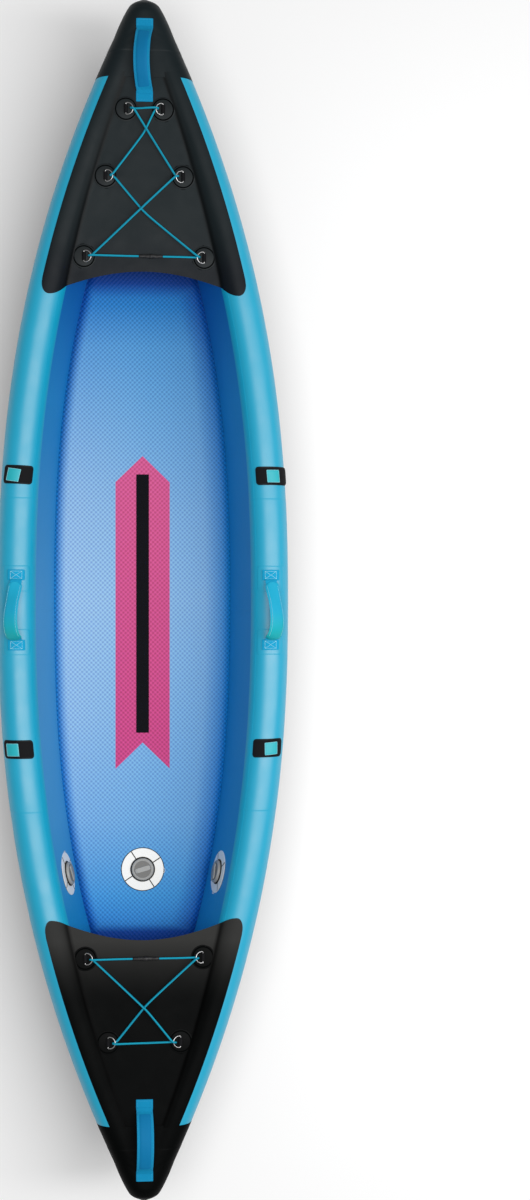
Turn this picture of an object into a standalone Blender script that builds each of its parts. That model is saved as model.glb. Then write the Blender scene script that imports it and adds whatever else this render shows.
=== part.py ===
"""Two-ended inflatable drop-stitch kayak: three air chambers, two spray decks, valves, handles and lacing.

Units are metres. +Y points to the bow, +X to starboard, +Z up. The flat middle of the bottom lies on z = 0.
"""
from math import acos, asin, atan, cos, pi, radians, sin, sqrt

import bpy
import bmesh
import numpy as np
from mathutils import Matrix, Vector

# ---- driving dimensions -------------------------------------------------------------------------------------
HALF_LENGTH = 1.75        # the hull is 3.50 m long
BEAM_HALF = 0.428         # greatest half beam, at the rails
PLAN_REACH = 1.81         # where the straight run of the sides would meet, just past the blunt ends
PLAN_POWER = 2.3
TIP_RADIUS = 0.055        # blunt end of the hull seen from above
TIP_HALF_WIDTH = 0.012
RAIL_RADIUS = 0.055       # rounded top of a side chamber, which is 0.11 m thick
RAIL_TOP = 0.365          # height of the rail amidships
SHEER_RISE = 0.075        # extra height of the rail at the ends
LEAN = radians(15)        # side chambers lean outwards

BOARD_HALF = 0.325        # half width of the floor board
BOARD_POWER = (2.5, 2.3)  # fullness of the board: stern, bow
BOARD_SHAPE = (0.95, 1.05)
BOARD_THICK = 0.100
FLOOR_HALF = 0.268        # half width of the floor between the side chambers
FLOOR_REACH = 0.817       # share of the half length where the side chambers meet
FLOOR_POWER = 2.55
ROCKER_START = 0.55
ROCKER_RISE = 0.16
ROCKER_KNOTS = (-1.75, -1.53, -1.35, -1.17, -0.76, -0.55, 0.55, 0.76, 0.97, 1.17, 1.35, 1.53, 1.75)

CAP_LENGTH = 0.2185       # each end cap, from the tip
CROWN_START = 0.185       # distance from the tip where a cap starts to rise from the deck to its crown
CROWN_RUN = 0.125
SEAM_GAP = 0.001
GAP = 0.0003              # clearance where pieces touch
SKIN_GAP = 0.0011         # clearance of a skin over a curved chamber
DECK_THICK = 0.003
DECK_GAP = 0.0018         # clearance under a deck where it wraps the rails
DECK_RISE = {"bow": (0.022, 0.744, 0.047), "stern": (0.030, 0.708, 0.032)}
DECK_EDGE_INSET = 0.038   # band of rail left bare outside a deck
DECK_BOW_EDGE = (0.786, 0.830, 0.858, 0.810)    # distance from the tip: middle, valley, corner, outer edge
DECK_STERN_EDGE = (0.753, 0.800, 0.817, 0.765)
VALLEY_SHARE = 0.60       # a deck's half width runs from 0 to 1: its valley and its rounded corner
CORNER_SHARE = 0.86

CORD_RADIUS = 0.003
RING_WIRE = 0.0018
RING_WIDTH = 0.030        # outside length of a D-ring's straight bar, centre of wire to centre of wire
RING_DEPTH = 0.022
RING_TILT = radians(20)
RING_BAR_HEIGHT = 0.0058
PATCH_RADIUS = 0.0285
PATCH_THICK = 0.002
LOOP_HOLE = 0.0026
BOW_RINGS = ((0.054, 1.428), (0.113, 1.237), (0.176, 1.006))
STERN_RINGS = ((0.172, -1.048), (0.1055, -1.289))
SLEEVE_HEIGHT = 0.012     # above the deck
BOW_SLEEVE = (-0.016, 0.054)
STERN_SLEEVE = (-0.034, 0.043)

VALVE_Y = -0.826
VALVE_RING = 0.063        # white reinforcing ring round each valve
VALVE_FLANGE = 0.036
VALVE_BARREL = 0.0295
VALVE_WELL = 0.021
VALVE_DEPTH = 0.038
CAP_RADIUS = 0.034
CAP_BASE = 0.0034         # underside of the cap above the valve's seat

WEBBING_WIDTH = 0.049
SIDE_HANDLE_Y = -0.029
SIDE_HANDLE_HALF = 0.117
BOW_HANDLE = (1.683, 1.449)
STERN_HANDLE = (-1.682, -1.452)
TAB_LENGTH = 0.029
TAB_THICK = 0.0035
WEBBING_THICK = 0.0012
GRIP_CLEAR = 0.004        # from a tab to the grip's end
GRIP_PIVOT = 0.010        # height of the grip's ends above the skin
GRIP_LIFT = 0.034         # how far the middle of a grip arches from its ends
GRIP_LEANS = {"bow": radians(-25), "stern": radians(-4), "side": radians(28)}
PADDLE_PLACES = {"front": 0.366, "rear": -0.436}
PAD_ARC = (radians(36), radians(131))
PADDLE_STRAP_ARC = (radians(40), radians(126))
PADDLE_HINGE = (radians(127), 0.0063)   # angle round the rail, and height above its skin

STRIP_WIDTH = 0.0385
STRIP_ENDS = (0.386, -0.408)
FIN_PATCH = (0.2025, 0.327)
FIN_BOX = (0.0956, 0.2576)
FIN_BOX_THICK = 0.009
FIN_CHANNEL = (0.026, 0.196)
FIN_HOLES = (0.070, -0.084)
FIN_HOLE_RADIUS = 0.009
FIN_Y = -1.000

BLACK = (0.020, 0.026, 0.029)
CYAN = (0.012, 0.40, 0.61)
FLOOR_BLUE = (0.23, 0.46, 0.71)
WEB_BLUE = (0.017, 0.24, 0.52)
WEB_CYAN = (0.022, 0.43, 0.63)
CORD_TEAL = (0.010, 0.38, 0.52)
STEEL = (0.75, 0.75, 0.74)
VALVE_WHITE = (0.83, 0.83, 0.82)
VALVE_GREY = (0.35, 0.35, 0.34)


# ---- shape of the hull --------------------------------------------------------------------------------------
def rocker(y):
    """Height of the bottom: flat amidships, rising in straight stretches between the knots."""
    heights = [ROCKER_RISE * (max(0.0, abs(k) - ROCKER_START) / (HALF_LENGTH - ROCKER_START)) ** 2
               for k in ROCKER_KNOTS]
    return float(np.interp(y, ROCKER_KNOTS, heights))


def rail_top(y):
    return RAIL_TOP + SHEER_RISE * (y / HALF_LENGTH) ** 2


def half_beam(y):
    """Half beam at the rails, with the blunt round of the ends."""
    from_tip = HALF_LENGTH - abs(y)
    side = BEAM_HALF * (1 - (abs(y) / PLAN_REACH) ** PLAN_POWER)
    if from_tip < TIP_RADIUS:
        side = min(side, sqrt(max(0.0, TIP_RADIUS ** 2 - (TIP_RADIUS - from_tip) ** 2)))
    return max(side, TIP_HALF_WIDTH)


def board_half(y):
    end = 1 if y > 0 else 0
    return BOARD_HALF * (1 - (abs(y) / HALF_LENGTH) ** BOARD_POWER[end]) ** BOARD_SHAPE[end]


def floor_half(y):
    share = abs(y) / HALF_LENGTH / FLOOR_REACH
    return max(FLOOR_HALF * (1 - share ** FLOOR_POWER), GAP) if share < 1 else GAP


def rail_centre(y):
    """Centre of the rail's rounding: distance from the centreline, and height."""
    return half_beam(y) - RAIL_RADIUS, rail_top(y) - RAIL_RADIUS


def rail_point(y, angle, lift):
    """A point on the starboard rail, at an angle from straight outboard and lifted off the skin."""
    x, z = rail_centre(y)
    reach = RAIL_RADIUS + lift
    return Vector((x + reach * cos(angle), y, z + reach * sin(angle)))


def deck_rise(y):
    """Height of a deck's flat above the centre of the rail's rounding; it climbs the rail towards the tip."""
    low, start, climb = DECK_RISE["bow" if y > 0 else "stern"]
    return low + climb * (start - (HALF_LENGTH - abs(y)))


def deck_height(y):
    """Height of the upper face of a deck's flat."""
    return rail_centre(y)[1] + deck_rise(y) + DECK_GAP + DECK_THICK


def deck_slope(y):
    step = 0.01
    return (deck_height(y + step) - deck_height(y - step)) / (2 * step)


# ---- helpers ------------------------------------------------------------------------------------------------
def clear_scene():
    for item in list(bpy.data.objects):
        bpy.data.objects.remove(item, do_unlink=True)


def make_material(name, colour, roughness, metallic=0.0):
    """One Principled material for each name, reused when it is asked for again."""
    found = bpy.data.materials.get(name)
    if found:
        return found
    made = bpy.data.materials.new(name)
    made.use_nodes = True
    shader = made.node_tree.nodes["Principled BSDF"]
    shader.inputs["Base Color"].default_value = (*colour, 1.0)
    shader.inputs["Roughness"].default_value = roughness
    shader.inputs["Metallic"].default_value = metallic
    made.diffuse_color = (*colour, 1.0)
    return made


def finish(bm, name, material, place=None, smooth=True):
    """Turns a bmesh into a named object with outward faces."""
    bmesh.ops.recalc_face_normals(bm, faces=bm.faces)
    mesh = bpy.data.meshes.new(name)
    bm.to_mesh(mesh)
    bm.free()
    if smooth:
        mesh.shade_smooth()
        mesh.set_sharp_from_angle(angle=radians(35))
    return place_object(mesh, name, material, place)


def place_object(mesh, name, material, place=None):
    made = bpy.data.objects.new(name, mesh)
    if not mesh.materials:
        mesh.materials.append(material)
    if place is not None:
        made.matrix_world = place
    bpy.context.scene.collection.objects.link(made)
    return made


def loft(bm, rings):
    """Skins closed rings of equal length, and caps both ends."""
    rows = [[bm.verts.new(point) for point in ring] for ring in rings]
    count = len(rows[0])
    for low, high in zip(rows, rows[1:]):
        for i in range(count):
            j = (i + 1) % count
            bm.faces.new((low[i], low[j], high[j], high[i]))
    bm.faces.new(rows[0])
    bm.faces.new(rows[-1])


def thick_sheet(bm, lower, upper):
    """Closes two matching grids of points into one sheet with a rim."""
    grids = [[[bm.verts.new(point) for point in row] for row in grid] for grid in (lower, upper)]
    rows, columns = len(lower), len(lower[0])
    for grid in grids:
        for i in range(rows - 1):
            for j in range(columns - 1):
                bm.faces.new((grid[i][j], grid[i + 1][j], grid[i + 1][j + 1], grid[i][j + 1]))
    low, high = grids
    for i in range(rows - 1):
        for j in (0, columns - 1):
            bm.faces.new((low[i][j], low[i + 1][j], high[i + 1][j], high[i][j]))
    for j in range(columns - 1):
        for i in (0, rows - 1):
            bm.faces.new((low[i][j], low[i][j + 1], high[i][j + 1], high[i][j]))


def turned(bm, profile, sides):
    """Turns a profile of (radius, height) round Z; it starts and ends on the axis."""
    rings = []
    for radius, height in profile:
        if radius == 0:
            rings.append([bm.verts.new((0, 0, height))])
            continue
        rings.append([bm.verts.new((radius * cos(2 * pi * k / sides), radius * sin(2 * pi * k / sides), height))
                      for k in range(sides)])
    for low, high in zip(rings, rings[1:]):
        for k in range(sides):
            n = (k + 1) % sides
            corners = [low[k % len(low)], low[n % len(low)], high[n % len(high)], high[k % len(high)]]
            bm.faces.new(list(dict.fromkeys(corners)))


def rounded_outline(width, length, corner, steps=4):
    """Rounded rectangle about the origin, as (x, y) points."""
    outline = []
    for quarter, (sx, sy) in enumerate(((1, 1), (-1, 1), (-1, -1), (1, -1))):
        for k in range(steps + 1):
            angle = (quarter + k / steps) * pi / 2
            outline.append((sx * (width / 2 - corner) + corner * cos(angle),
                            sy * (length / 2 - corner) + corner * sin(angle)))
    return outline


def plate(bm, outline, bottom, top, inset=0.0):
    """Prism over an outline; an inset draws its top in for sloping sides."""
    size = max(abs(x) for x, _ in outline)
    share = 1 - inset / size
    loft(bm, [[(x, y, bottom) for x, y in outline], [(x * share, y * share, top) for x, y in outline]])


def box_mesh(bm, low, high):
    size = [b - a for a, b in zip(low, high)]
    middle = [(a + b) / 2 for a, b in zip(low, high)]
    bmesh.ops.create_cube(bm, size=1, matrix=Matrix.Translation(middle) @ Matrix.Diagonal((*size, 1)))


def cutter(bm, name, place):
    made = finish(bm, name, make_material("cutter", (1, 0, 0), 1), place, smooth=False)
    made.hide_render = True
    made.display_type = "WIRE"
    return made


def boolean(target, other, operation):
    step = target.modifiers.new(other.name, "BOOLEAN")
    step.operation = operation
    step.solver = "EXACT"
    step.object = other


# ---- chambers -----------------------------------------------------------------------------------------------
def hull_stations():
    """Places along the hull where the chambers' sections are drawn, both ends between the caps."""
    reach = HALF_LENGTH - CAP_LENGTH - SEAM_GAP
    inner = {k for k in ROCKER_KNOTS if abs(k) < reach - 0.02}
    extra = {side * y for side in (-1, 1) for y in (0.0, 0.2, 0.4, 0.88, 1.06, 1.26, 1.44)}
    return sorted(inner | extra | {-reach, reach})


def board_section(y):
    """Flat board with round edges, starting under its port edge."""
    half, base, radius = board_half(y), rocker(y), BOARD_THICK / 2
    flat = max(half - radius, 0.004)
    points = []
    for side, start in ((1, -pi / 2), (-1, pi / 2)):
        for k in range(9):
            angle = start + pi * k / 8
            points.append((side * flat + radius * cos(angle), y, base + radius + radius * sin(angle)))
    return points


def floor_chamber():
    """Drop-stitch board that is the floor above and the bottom below, with a pocket for its valve."""
    bm = bmesh.new()
    loft(bm, [board_section(y) for y in hull_stations()])
    chamber = finish(bm, "floor_chamber", make_material("floor_pvc", FLOOR_BLUE, 0.5))
    cut_pocket(chamber, floor_valve_place())


def side_section(y):
    """Section of the starboard side chamber, from its inner foot round the rail to its seat on the board."""
    x, z = rail_centre(y)
    radius = BOARD_THICK / 2
    base = rocker(y)
    board_flat = max(board_half(y) - radius, 0.004)
    inner = floor_half(y)
    points = [(inner, y, base + BOARD_THICK + GAP)]
    for k in range(10):
        angle = pi - LEAN - pi * k / 9
        points.append((max(x + RAIL_RADIUS * cos(angle), GAP), y, z + RAIL_RADIUS * sin(angle)))
    reach = radius + GAP * 2
    for k in range(5):
        angle = pi / 2 * k / 4
        points.append((board_flat + reach * cos(angle), y, base + radius + reach * sin(angle)))
    return points


def side_chambers():
    """The two leaning side chambers, each with a pocket in its inner wall for its valve."""
    skin = make_material("side_pvc", CYAN, 0.35)
    for name, side in (("left", -1), ("right", 1)):
        bm = bmesh.new()
        loft(bm, [[(side * px, py, pz) for px, py, pz in side_section(y)] for y in hull_stations()])
        chamber = finish(bm, name + "_side_chamber", skin)
        cut_pocket(chamber, side_valve_place(side))


def cut_pocket(chamber, place):
    """Sinks a round pocket for a valve into a chamber."""
    bm = bmesh.new()
    bmesh.ops.create_cone(bm, cap_ends=True, segments=24, radius1=VALVE_BARREL + 0.0008,
                          radius2=VALVE_BARREL + 0.0008, depth=VALVE_DEPTH * 2 + 0.002)
    boolean(chamber, cutter(bm, chamber.name + "_valve_pocket", place), "DIFFERENCE")


# ---- ends and decks -----------------------------------------------------------------------------------------
def skin_rise(y, rounding):
    """Height of an end cap's middle above the rail's centre: level with the deck, then up to the crown."""
    from_tip = HALF_LENGTH - abs(y)
    flat = deck_rise(y) + DECK_GAP + DECK_THICK
    share = min(1.0, max(0.0, (CROWN_START - from_tip) / CROWN_RUN))
    share = share * share * (3 - 2 * share)
    return min(flat + (RAIL_RADIUS - flat) * share, rounding)


def cap_section(y):
    """Half section of an end cap on the starboard side, from the keel up to the middle of the top."""
    from_tip = HALF_LENGTH - abs(y)
    beam = half_beam(y)
    rounding = min(RAIL_RADIUS, beam)
    x = beam - rounding
    z = rail_top(y) - RAIL_RADIUS
    foot = min(board_half(y), beam * 0.9)
    base = rocker(y)
    rise = skin_rise(y, rounding)
    last = pi - asin(min(1.0, rise / rounding))
    if x < rounding:
        last = min(last, acos(-x / rounding))
    keel = 0.006 + 0.012 * min(1.0, from_tip / CAP_LENGTH)
    points = [(0.0, y, base + keel), (foot * 0.55, y, base + keel + 0.010), (foot, y, base + 0.045)]
    for k in range(9):
        angle = -LEAN + (last + LEAN) * k / 8
        points.append((max(x + rounding * cos(angle), 0.002), y, z + rounding * sin(angle)))
    points.append((0.0, y, z + max(rise, rounding * sin(last))))
    return points


def end_cap(name, side):
    """Closed end of the hull, where both side chambers run together."""
    bm = bmesh.new()
    rings = []
    for from_tip in (0.0, 0.004, 0.012, 0.025, 0.042, 0.062, 0.085, 0.110, 0.135, 0.160, 0.190, CAP_LENGTH):
        half = cap_section(side * (HALF_LENGTH - from_tip))
        mirrored = [(-px, py, pz) for px, py, pz in reversed(half[1:-1])]
        rings.append(half + mirrored)
    loft(bm, rings)
    finish(bm, name, make_material("black_pvc", BLACK, 0.45))


def deck_edge(share, edge):
    """Distance of a deck's open edge from the tip; share runs from the centreline, 0, to the outer edge, 1."""
    middle, valley, corner, outer = edge
    if share < VALLEY_SHARE:
        return middle + (valley - middle) * (share / VALLEY_SHARE) ** 2
    if share < CORNER_SHARE:
        return valley + (corner - valley) * sin(pi / 2 * (share - VALLEY_SHARE) / (CORNER_SHARE - VALLEY_SHARE))
    run = (share - CORNER_SHARE) / (1 - CORNER_SHARE)
    return corner - (corner - outer) * (1 - sqrt(max(0.0, 1 - run * run)))


def deck_point(share, y, lift):
    """A point of a deck's section: flat out to the valley, then up over the rail to the outer edge."""
    x, z = rail_centre(y)
    reach = RAIL_RADIUS + lift
    rise = deck_rise(y) + lift
    valley = pi - asin(rise / reach)
    outer = acos((RAIL_RADIUS - DECK_EDGE_INSET) / RAIL_RADIUS)
    size = abs(share)
    side = 1 if share >= 0 else -1
    flat = x + reach * cos(valley)
    if size < VALLEY_SHARE:
        return (side * flat * size / VALLEY_SHARE, y, z + rise)
    angle = valley + (outer - valley) * (size - VALLEY_SHARE) / (1 - VALLEY_SHARE)
    return (side * (x + reach * cos(angle)), y, z + reach * sin(angle))


def deck(name, side, edge):
    """PVC spray deck glued over both rails, with a hollow-cut edge towards the cockpit."""
    shares = [-1, -0.985, -0.96, -0.92, -0.86, -0.80, -0.74, -0.67, -0.60, -0.30]
    shares = shares + [0.0] + [-s for s in reversed(shares)]
    front = CAP_LENGTH + SEAM_GAP
    grids = []
    for lift in (DECK_GAP, DECK_GAP + DECK_THICK):
        grid = []
        for row in range(9):
            along = row / 8
            grid.append([deck_point(s, side * (HALF_LENGTH - front - (deck_edge(abs(s), edge) - front) * along),
                                    lift) for s in shares])
        grids.append(grid)
    bm = bmesh.new()
    thick_sheet(bm, *grids)
    finish(bm, name, make_material("black_pvc", BLACK, 0.45))


# ---- valves -------------------------------------------------------------------------------------------------
def floor_valve_place():
    """Frame on the floor: its Z is the valve's axis, pointing out of the chamber."""
    slope = (rocker(-0.80) - rocker(-0.86)) / 0.06
    return (Matrix.Translation((0, VALVE_Y, rocker(VALVE_Y) + BOARD_THICK))
            @ Matrix.Rotation(atan(slope), 4, "X"))


def side_valve_place(side):
    """Frame in the middle of a side chamber's inner wall, Z pointing into the cockpit."""
    corners = []
    for y in (-0.76, -0.88):
        section = side_section(y)
        corners += [Vector(section[0]), Vector(section[1])]
    middle = sum(corners, Vector()) / 4
    along = (corners[2] + corners[3] - corners[0] - corners[1]).normalized()
    up = (corners[1] + corners[3] - corners[0] - corners[2]).normalized()
    normal = up.cross(along).normalized()
    if normal.x > 0:
        normal = -normal
    up = (up - normal * up.dot(normal)).normalized()
    across = up.cross(normal)
    frame = Matrix((across, up, normal)).transposed().to_4x4()
    frame.translation = middle
    if side < 0:
        mirror = Matrix.Diagonal((-1, 1, 1, 1))
        frame = mirror @ frame @ Matrix.Diagonal((-1, 1, 1, 1))
    return frame


def valve_body_mesh():
    """Reinforcing ring, flange and barrel of a valve, with the well that holds the plunger."""
    lift = SKIN_GAP
    bm = bmesh.new()
    floor = 0.004 - VALVE_DEPTH
    turned(bm, [(0, -VALVE_DEPTH), (VALVE_BARREL, -VALVE_DEPTH), (VALVE_BARREL, lift), (VALVE_RING, lift),
                (VALVE_RING, lift + 0.0012), (VALVE_FLANGE, lift + 0.0015),
                (VALVE_FLANGE - 0.002, lift + 0.003), (VALVE_WELL, lift + 0.003), (VALVE_WELL, floor),
                (0, floor)], 28)
    return bm


def valve_cap_mesh():
    """Quarter-turn cap with a grip bar across it and a plug that reaches into the well."""
    base = SKIN_GAP + CAP_BASE
    bm = bmesh.new()
    turned(bm, [(0, base - 0.006), (VALVE_WELL - 0.001, base - 0.006), (VALVE_WELL - 0.001, base),
                (CAP_RADIUS, base), (CAP_RADIUS, base + 0.006), (CAP_RADIUS - 0.003, base + 0.0085),
                (0.021, base + 0.0085), (0.019, base + 0.0065), (0, base + 0.0065)], 28)
    return bm


def valve_grip_mesh():
    bm = bmesh.new()
    base = SKIN_GAP + CAP_BASE
    box_mesh(bm, (-0.0195, -0.0035, base + 0.005), (0.0195, 0.0035, base + 0.012))
    return bm


def valve_plunger_mesh():
    """Spring-loaded plunger at the bottom of the well."""
    low = -VALVE_DEPTH + 0.0115
    bm = bmesh.new()
    turned(bm, [(0, low), (0.0165, low), (0.0165, low + 0.003), (0.0075, low + 0.004), (0.0065, low + 0.012),
                (0, low + 0.0125)], 20)
    return bm


def valves():
    """Three valves: one in the floor and one in each side chamber's inner wall."""
    places = {"floor": floor_valve_place(), "left": side_valve_place(-1), "right": side_valve_place(1)}
    for label, place in places.items():
        finish(valve_body_mesh(), label + "_valve_body", make_material("valve_white", VALVE_WHITE, 0.4), place)
        grey = make_material("valve_grey", VALVE_GREY, 0.5)
        cap = finish(valve_cap_mesh(), label + "_valve_cap", grey, place)
        grip = cutter(valve_grip_mesh(), label + "_valve_cap_grip", place)
        boolean(cap, grip, "UNION")
        finish(valve_plunger_mesh(), label + "_valve_plunger", grey, place)


# ---- lacing -------------------------------------------------------------------------------------------------
def deck_frame(x, y):
    """Frame on a deck's flat at a place, with Z square to the deck."""
    return Matrix.Translation((x, y, deck_height(y) + SKIN_GAP)) @ Matrix.Rotation(atan(deck_slope(y)), 4, "X")


def ring_patch_mesh():
    """Round patch with a webbing loop across it, bored for the D-ring's bar."""
    bm = bmesh.new()
    bmesh.ops.create_cone(bm, cap_ends=True, segments=22, radius1=PATCH_RADIUS, radius2=PATCH_RADIUS - 0.001,
                          depth=PATCH_THICK, matrix=Matrix.Translation((0, 0, PATCH_THICK / 2)))
    patch = finish(bm, "patch_blank", make_material("black_pvc", BLACK, 0.45), smooth=False)
    bm = bmesh.new()
    box_mesh(bm, (-0.0058, -0.0105, PATCH_THICK / 2), (0.0058, 0.0105, RING_BAR_HEIGHT + LOOP_HOLE + 0.0016))
    loop = cutter(bm, "loop_blank", Matrix())
    bm = bmesh.new()
    bmesh.ops.create_cone(bm, cap_ends=True, segments=12, radius1=LOOP_HOLE, radius2=LOOP_HOLE, depth=0.04,
                          matrix=Matrix.Translation((0, 0, RING_BAR_HEIGHT)) @ Matrix.Rotation(pi / 2, 4, "X"))
    hole = cutter(bm, "loop_hole", Matrix())
    boolean(patch, loop, "UNION")
    boolean(patch, hole, "DIFFERENCE")
    shaped = bpy.data.meshes.new_from_object(patch.evaluated_get(bpy.context.evaluated_depsgraph_get()))
    shaped.name = "ring_patch"
    for blank in (patch, loop, hole):
        bpy.data.objects.remove(blank, do_unlink=True)
    return shaped


def ring_curve():
    """D-ring of round wire: straight bar on the hinge line and a bow reaching along +X."""
    half = RING_WIDTH / 2
    outline = [(0.0, -half), (0.0, 0.0), (0.0, half), (0.0025, half + 0.0012)]
    outline += [(0.005 + (RING_DEPTH - 0.005) * sin(angle), (half + 0.0015) * cos(angle))
                for angle in (pi * k / 8 for k in range(0, 9))]
    outline.append((0.0025, -half - 0.0012))
    curve = bpy.data.curves.new("d_ring", "CURVE")
    curve.dimensions = "3D"
    curve.bevel_depth = RING_WIRE
    curve.bevel_resolution = 1
    spline = curve.splines.new("POLY")
    spline.points.add(len(outline) - 1)
    for point, (x, y) in zip(spline.points, outline):
        point.co = (x, y, 0, 1)
    spline.use_cyclic_u = True
    curve.materials.append(make_material("steel", STEEL, 0.25, 1.0))
    return curve


def ring_sets():
    """Name, place and side of each D-ring, bow to stern."""
    for end, places in (("bow", BOW_RINGS), ("stern", STERN_RINGS)):
        for number, (x, y) in enumerate(places, start=1):
            for label, side in (("left", -1), ("right", 1)):
                yield f"{end}_ring_{number}_{label}", side * x, y, side


def lacing_rings():
    """Ten patches on the decks, each with its D-ring raised a little by the cord that runs through it."""
    patch_mesh = ring_patch_mesh()
    curve = ring_curve()
    for name, x, y, side in ring_sets():
        place = deck_frame(x, y)
        place_object(patch_mesh, name.replace("_ring_", "_patch_"), patch_mesh.materials[0], place)
        turn = Matrix.Rotation(pi if side > 0 else 0, 4, "Z")
        ring = bpy.data.objects.new(name, curve)
        ring.matrix_world = (place @ Matrix.Translation((0, 0, RING_BAR_HEIGHT)) @ turn
                             @ Matrix.Rotation(-RING_TILT, 4, "Y"))
        bpy.context.scene.collection.objects.link(ring)


def round_ring(x, y, side, over_y, under_y):
    """Route points of the cord round the far end of a D-ring: in over the wire, down through, and out below."""
    hold = RING_WIRE + CORD_RADIUS + 0.0016
    far = x - side * RING_DEPTH * cos(RING_TILT)
    height = RING_BAR_HEIGHT + RING_DEPTH * sin(RING_TILT)
    shift = 0.0032
    over = 1 if over_y > y else -1
    under = 1 if under_y > y else -1
    return [(far - side * 0.010, y + over * shift, height + hold),
            (far, y + over * shift * 0.7, height + hold),
            (far + side * hold, y, height),
            (far, y + under * shift * 0.7, height - hold),
            (far - side * 0.010, y + under * shift, height - hold + 0.0004)]


def bow_route():
    """Laced route of the bow cord from one end of its sleeve to the other: (x, y, height above the deck)."""
    (x1, y1), (x2, y2), (x3, y3) = BOW_RINGS
    route = [(-0.0165, y3, 0.012), (-0.060, y3, 0.0135)]
    route += round_ring(-x3, y3, -1, y3 + 0.001, y2)
    route += [(-0.010, 1.142, 0.0175)]
    route += round_ring(x2, y2, 1, y3, y1)
    route += [(0.003, 1.372, 0.0175)]
    route += round_ring(-x1, y1, -1, y2, y1 - 0.001)
    route += round_ring(x1, y1, 1, y1 + 0.001, y2)
    route += [(-0.003, 1.358, 0.0095)]
    route += round_ring(-x2, y2, -1, y1, y3)
    route += [(0.004, 1.130, 0.0095)]
    route += round_ring(x3, y3, 1, y2, y3 - 0.001)
    return route + [(0.110, y3, 0.0105), (0.0545, y3, 0.012)]


def stern_route():
    """Laced route of the stern cord."""
    (x1, y1), (x2, y2) = STERN_RINGS
    route = [(-0.0345, y1, 0.012), (-0.080, y1, 0.0135)]
    route += round_ring(-x1, y1, -1, y1 + 0.001, y2)
    route += [(0.006, -1.196, 0.0175)]
    route += round_ring(x2, y2, 1, y1, y2 - 0.001)
    route += round_ring(-x2, y2, -1, y2 - 0.001, y1)
    route += [(0.006, -1.182, 0.0095)]
    route += round_ring(x1, y1, 1, y2, y1 + 0.001)
    return route + [(0.110, y1, 0.0105), (0.0435, y1, 0.012)]


def smooth_points(route):
    """Points of a smooth curve through a route's own points, closer together where it bends."""
    ends = [2 * route[0] - route[1]] + route + [2 * route[-1] - route[-2]]
    points = []
    for a, b, c, d in zip(ends, ends[1:], ends[2:], ends[3:]):
        length = (c - b).length
        steps = max(1, min(3, round(length / 0.045)))
        for k in range(steps):
            t = k / steps
            m1 = (c - a) * 0.5 * min(1.0, length / max((c - a).length, 1e-6))
            m2 = (d - b) * 0.5 * min(1.0, length / max((d - b).length, 1e-6))
            points.append((2 * t ** 3 - 3 * t ** 2 + 1) * b + (t ** 3 - 2 * t ** 2 + t) * m1
                          + (3 * t ** 2 - 2 * t ** 3) * c + (t ** 3 - t ** 2) * m2)
    return points + [route[-1]]


def bungee(name, route):
    """Elastic cord laced through the D-rings of one deck."""
    world = [Vector((x, y, deck_height(y) + SKIN_GAP + height)) for x, y, height in route]
    points = smooth_points(world)
    curve = bpy.data.curves.new(name, "CURVE")
    curve.dimensions = "3D"
    curve.bevel_depth = CORD_RADIUS
    curve.bevel_resolution = 2
    curve.use_fill_caps = True
    spline = curve.splines.new("POLY")
    spline.points.add(len(points) - 1)
    for target, point in zip(spline.points, points):
        target.co = (*point, 1)
    curve.materials.append(make_material("cord_teal", CORD_TEAL, 0.6))
    bpy.context.scene.collection.objects.link(bpy.data.objects.new(name, curve))


def bungee_sleeve(name, low, high, y):
    """Crimped sleeve that joins the two ends of a cord."""
    length = high - low
    bm = bmesh.new()
    turned(bm, [(0, 0), (0.0042, 0), (0.0048, 0.004), (0.0048, length / 2 - 0.006),
                (0.0064, length / 2 - 0.003), (0.0064, length / 2 + 0.003), (0.0048, length / 2 + 0.006),
                (0.0048, length - 0.004), (0.0042, length), (0, length)], 12)
    start = Matrix.Translation((low, y, deck_height(y) + SKIN_GAP + SLEEVE_HEIGHT))
    material = make_material("black_rubber", BLACK, 0.6)
    finish(bm, name, material, start @ Matrix.Rotation(pi / 2, 4, "Y"))


def lacing():
    bungee("bow_bungee", bow_route())
    bungee("stern_bungee", stern_route())
    bungee_sleeve("bow_bungee_sleeve", *BOW_SLEEVE, BOW_RINGS[2][1])
    bungee_sleeve("stern_bungee_sleeve", *STERN_SLEEVE, STERN_RINGS[0][1])


# ---- handles ------------------------------------------------------------------------------------------------
def middle_height(y):
    """Height of the hull's top on the centreline, over an end cap or its deck."""
    from_tip = HALF_LENGTH - abs(y)
    if from_tip > CAP_LENGTH:
        return deck_height(y)
    return cap_section(y)[-1][2]


def band(bm, centres, widths, thicknesses, across):
    """Flat band along a run of points; across is its width direction."""
    rings = []
    for k, centre in enumerate(centres):
        before, after = centres[max(k - 1, 0)], centres[min(k + 1, len(centres) - 1)]
        along = (after - before).normalized()
        side = (across[k] - along * across[k].dot(along)).normalized()
        up = side.cross(along)
        half, thick = widths[k] / 2, thicknesses[k] / 2
        outline = ((-1, -0.4), (-0.9, -1), (0.9, -1), (1, -0.4), (1, 0.4), (0.9, 1), (-0.9, 1), (-1, 0.4))
        rings.append([centre + side * (sx * half) + up * (sz * thick) for sx, sz in outline])
    loft(bm, rings)


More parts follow.
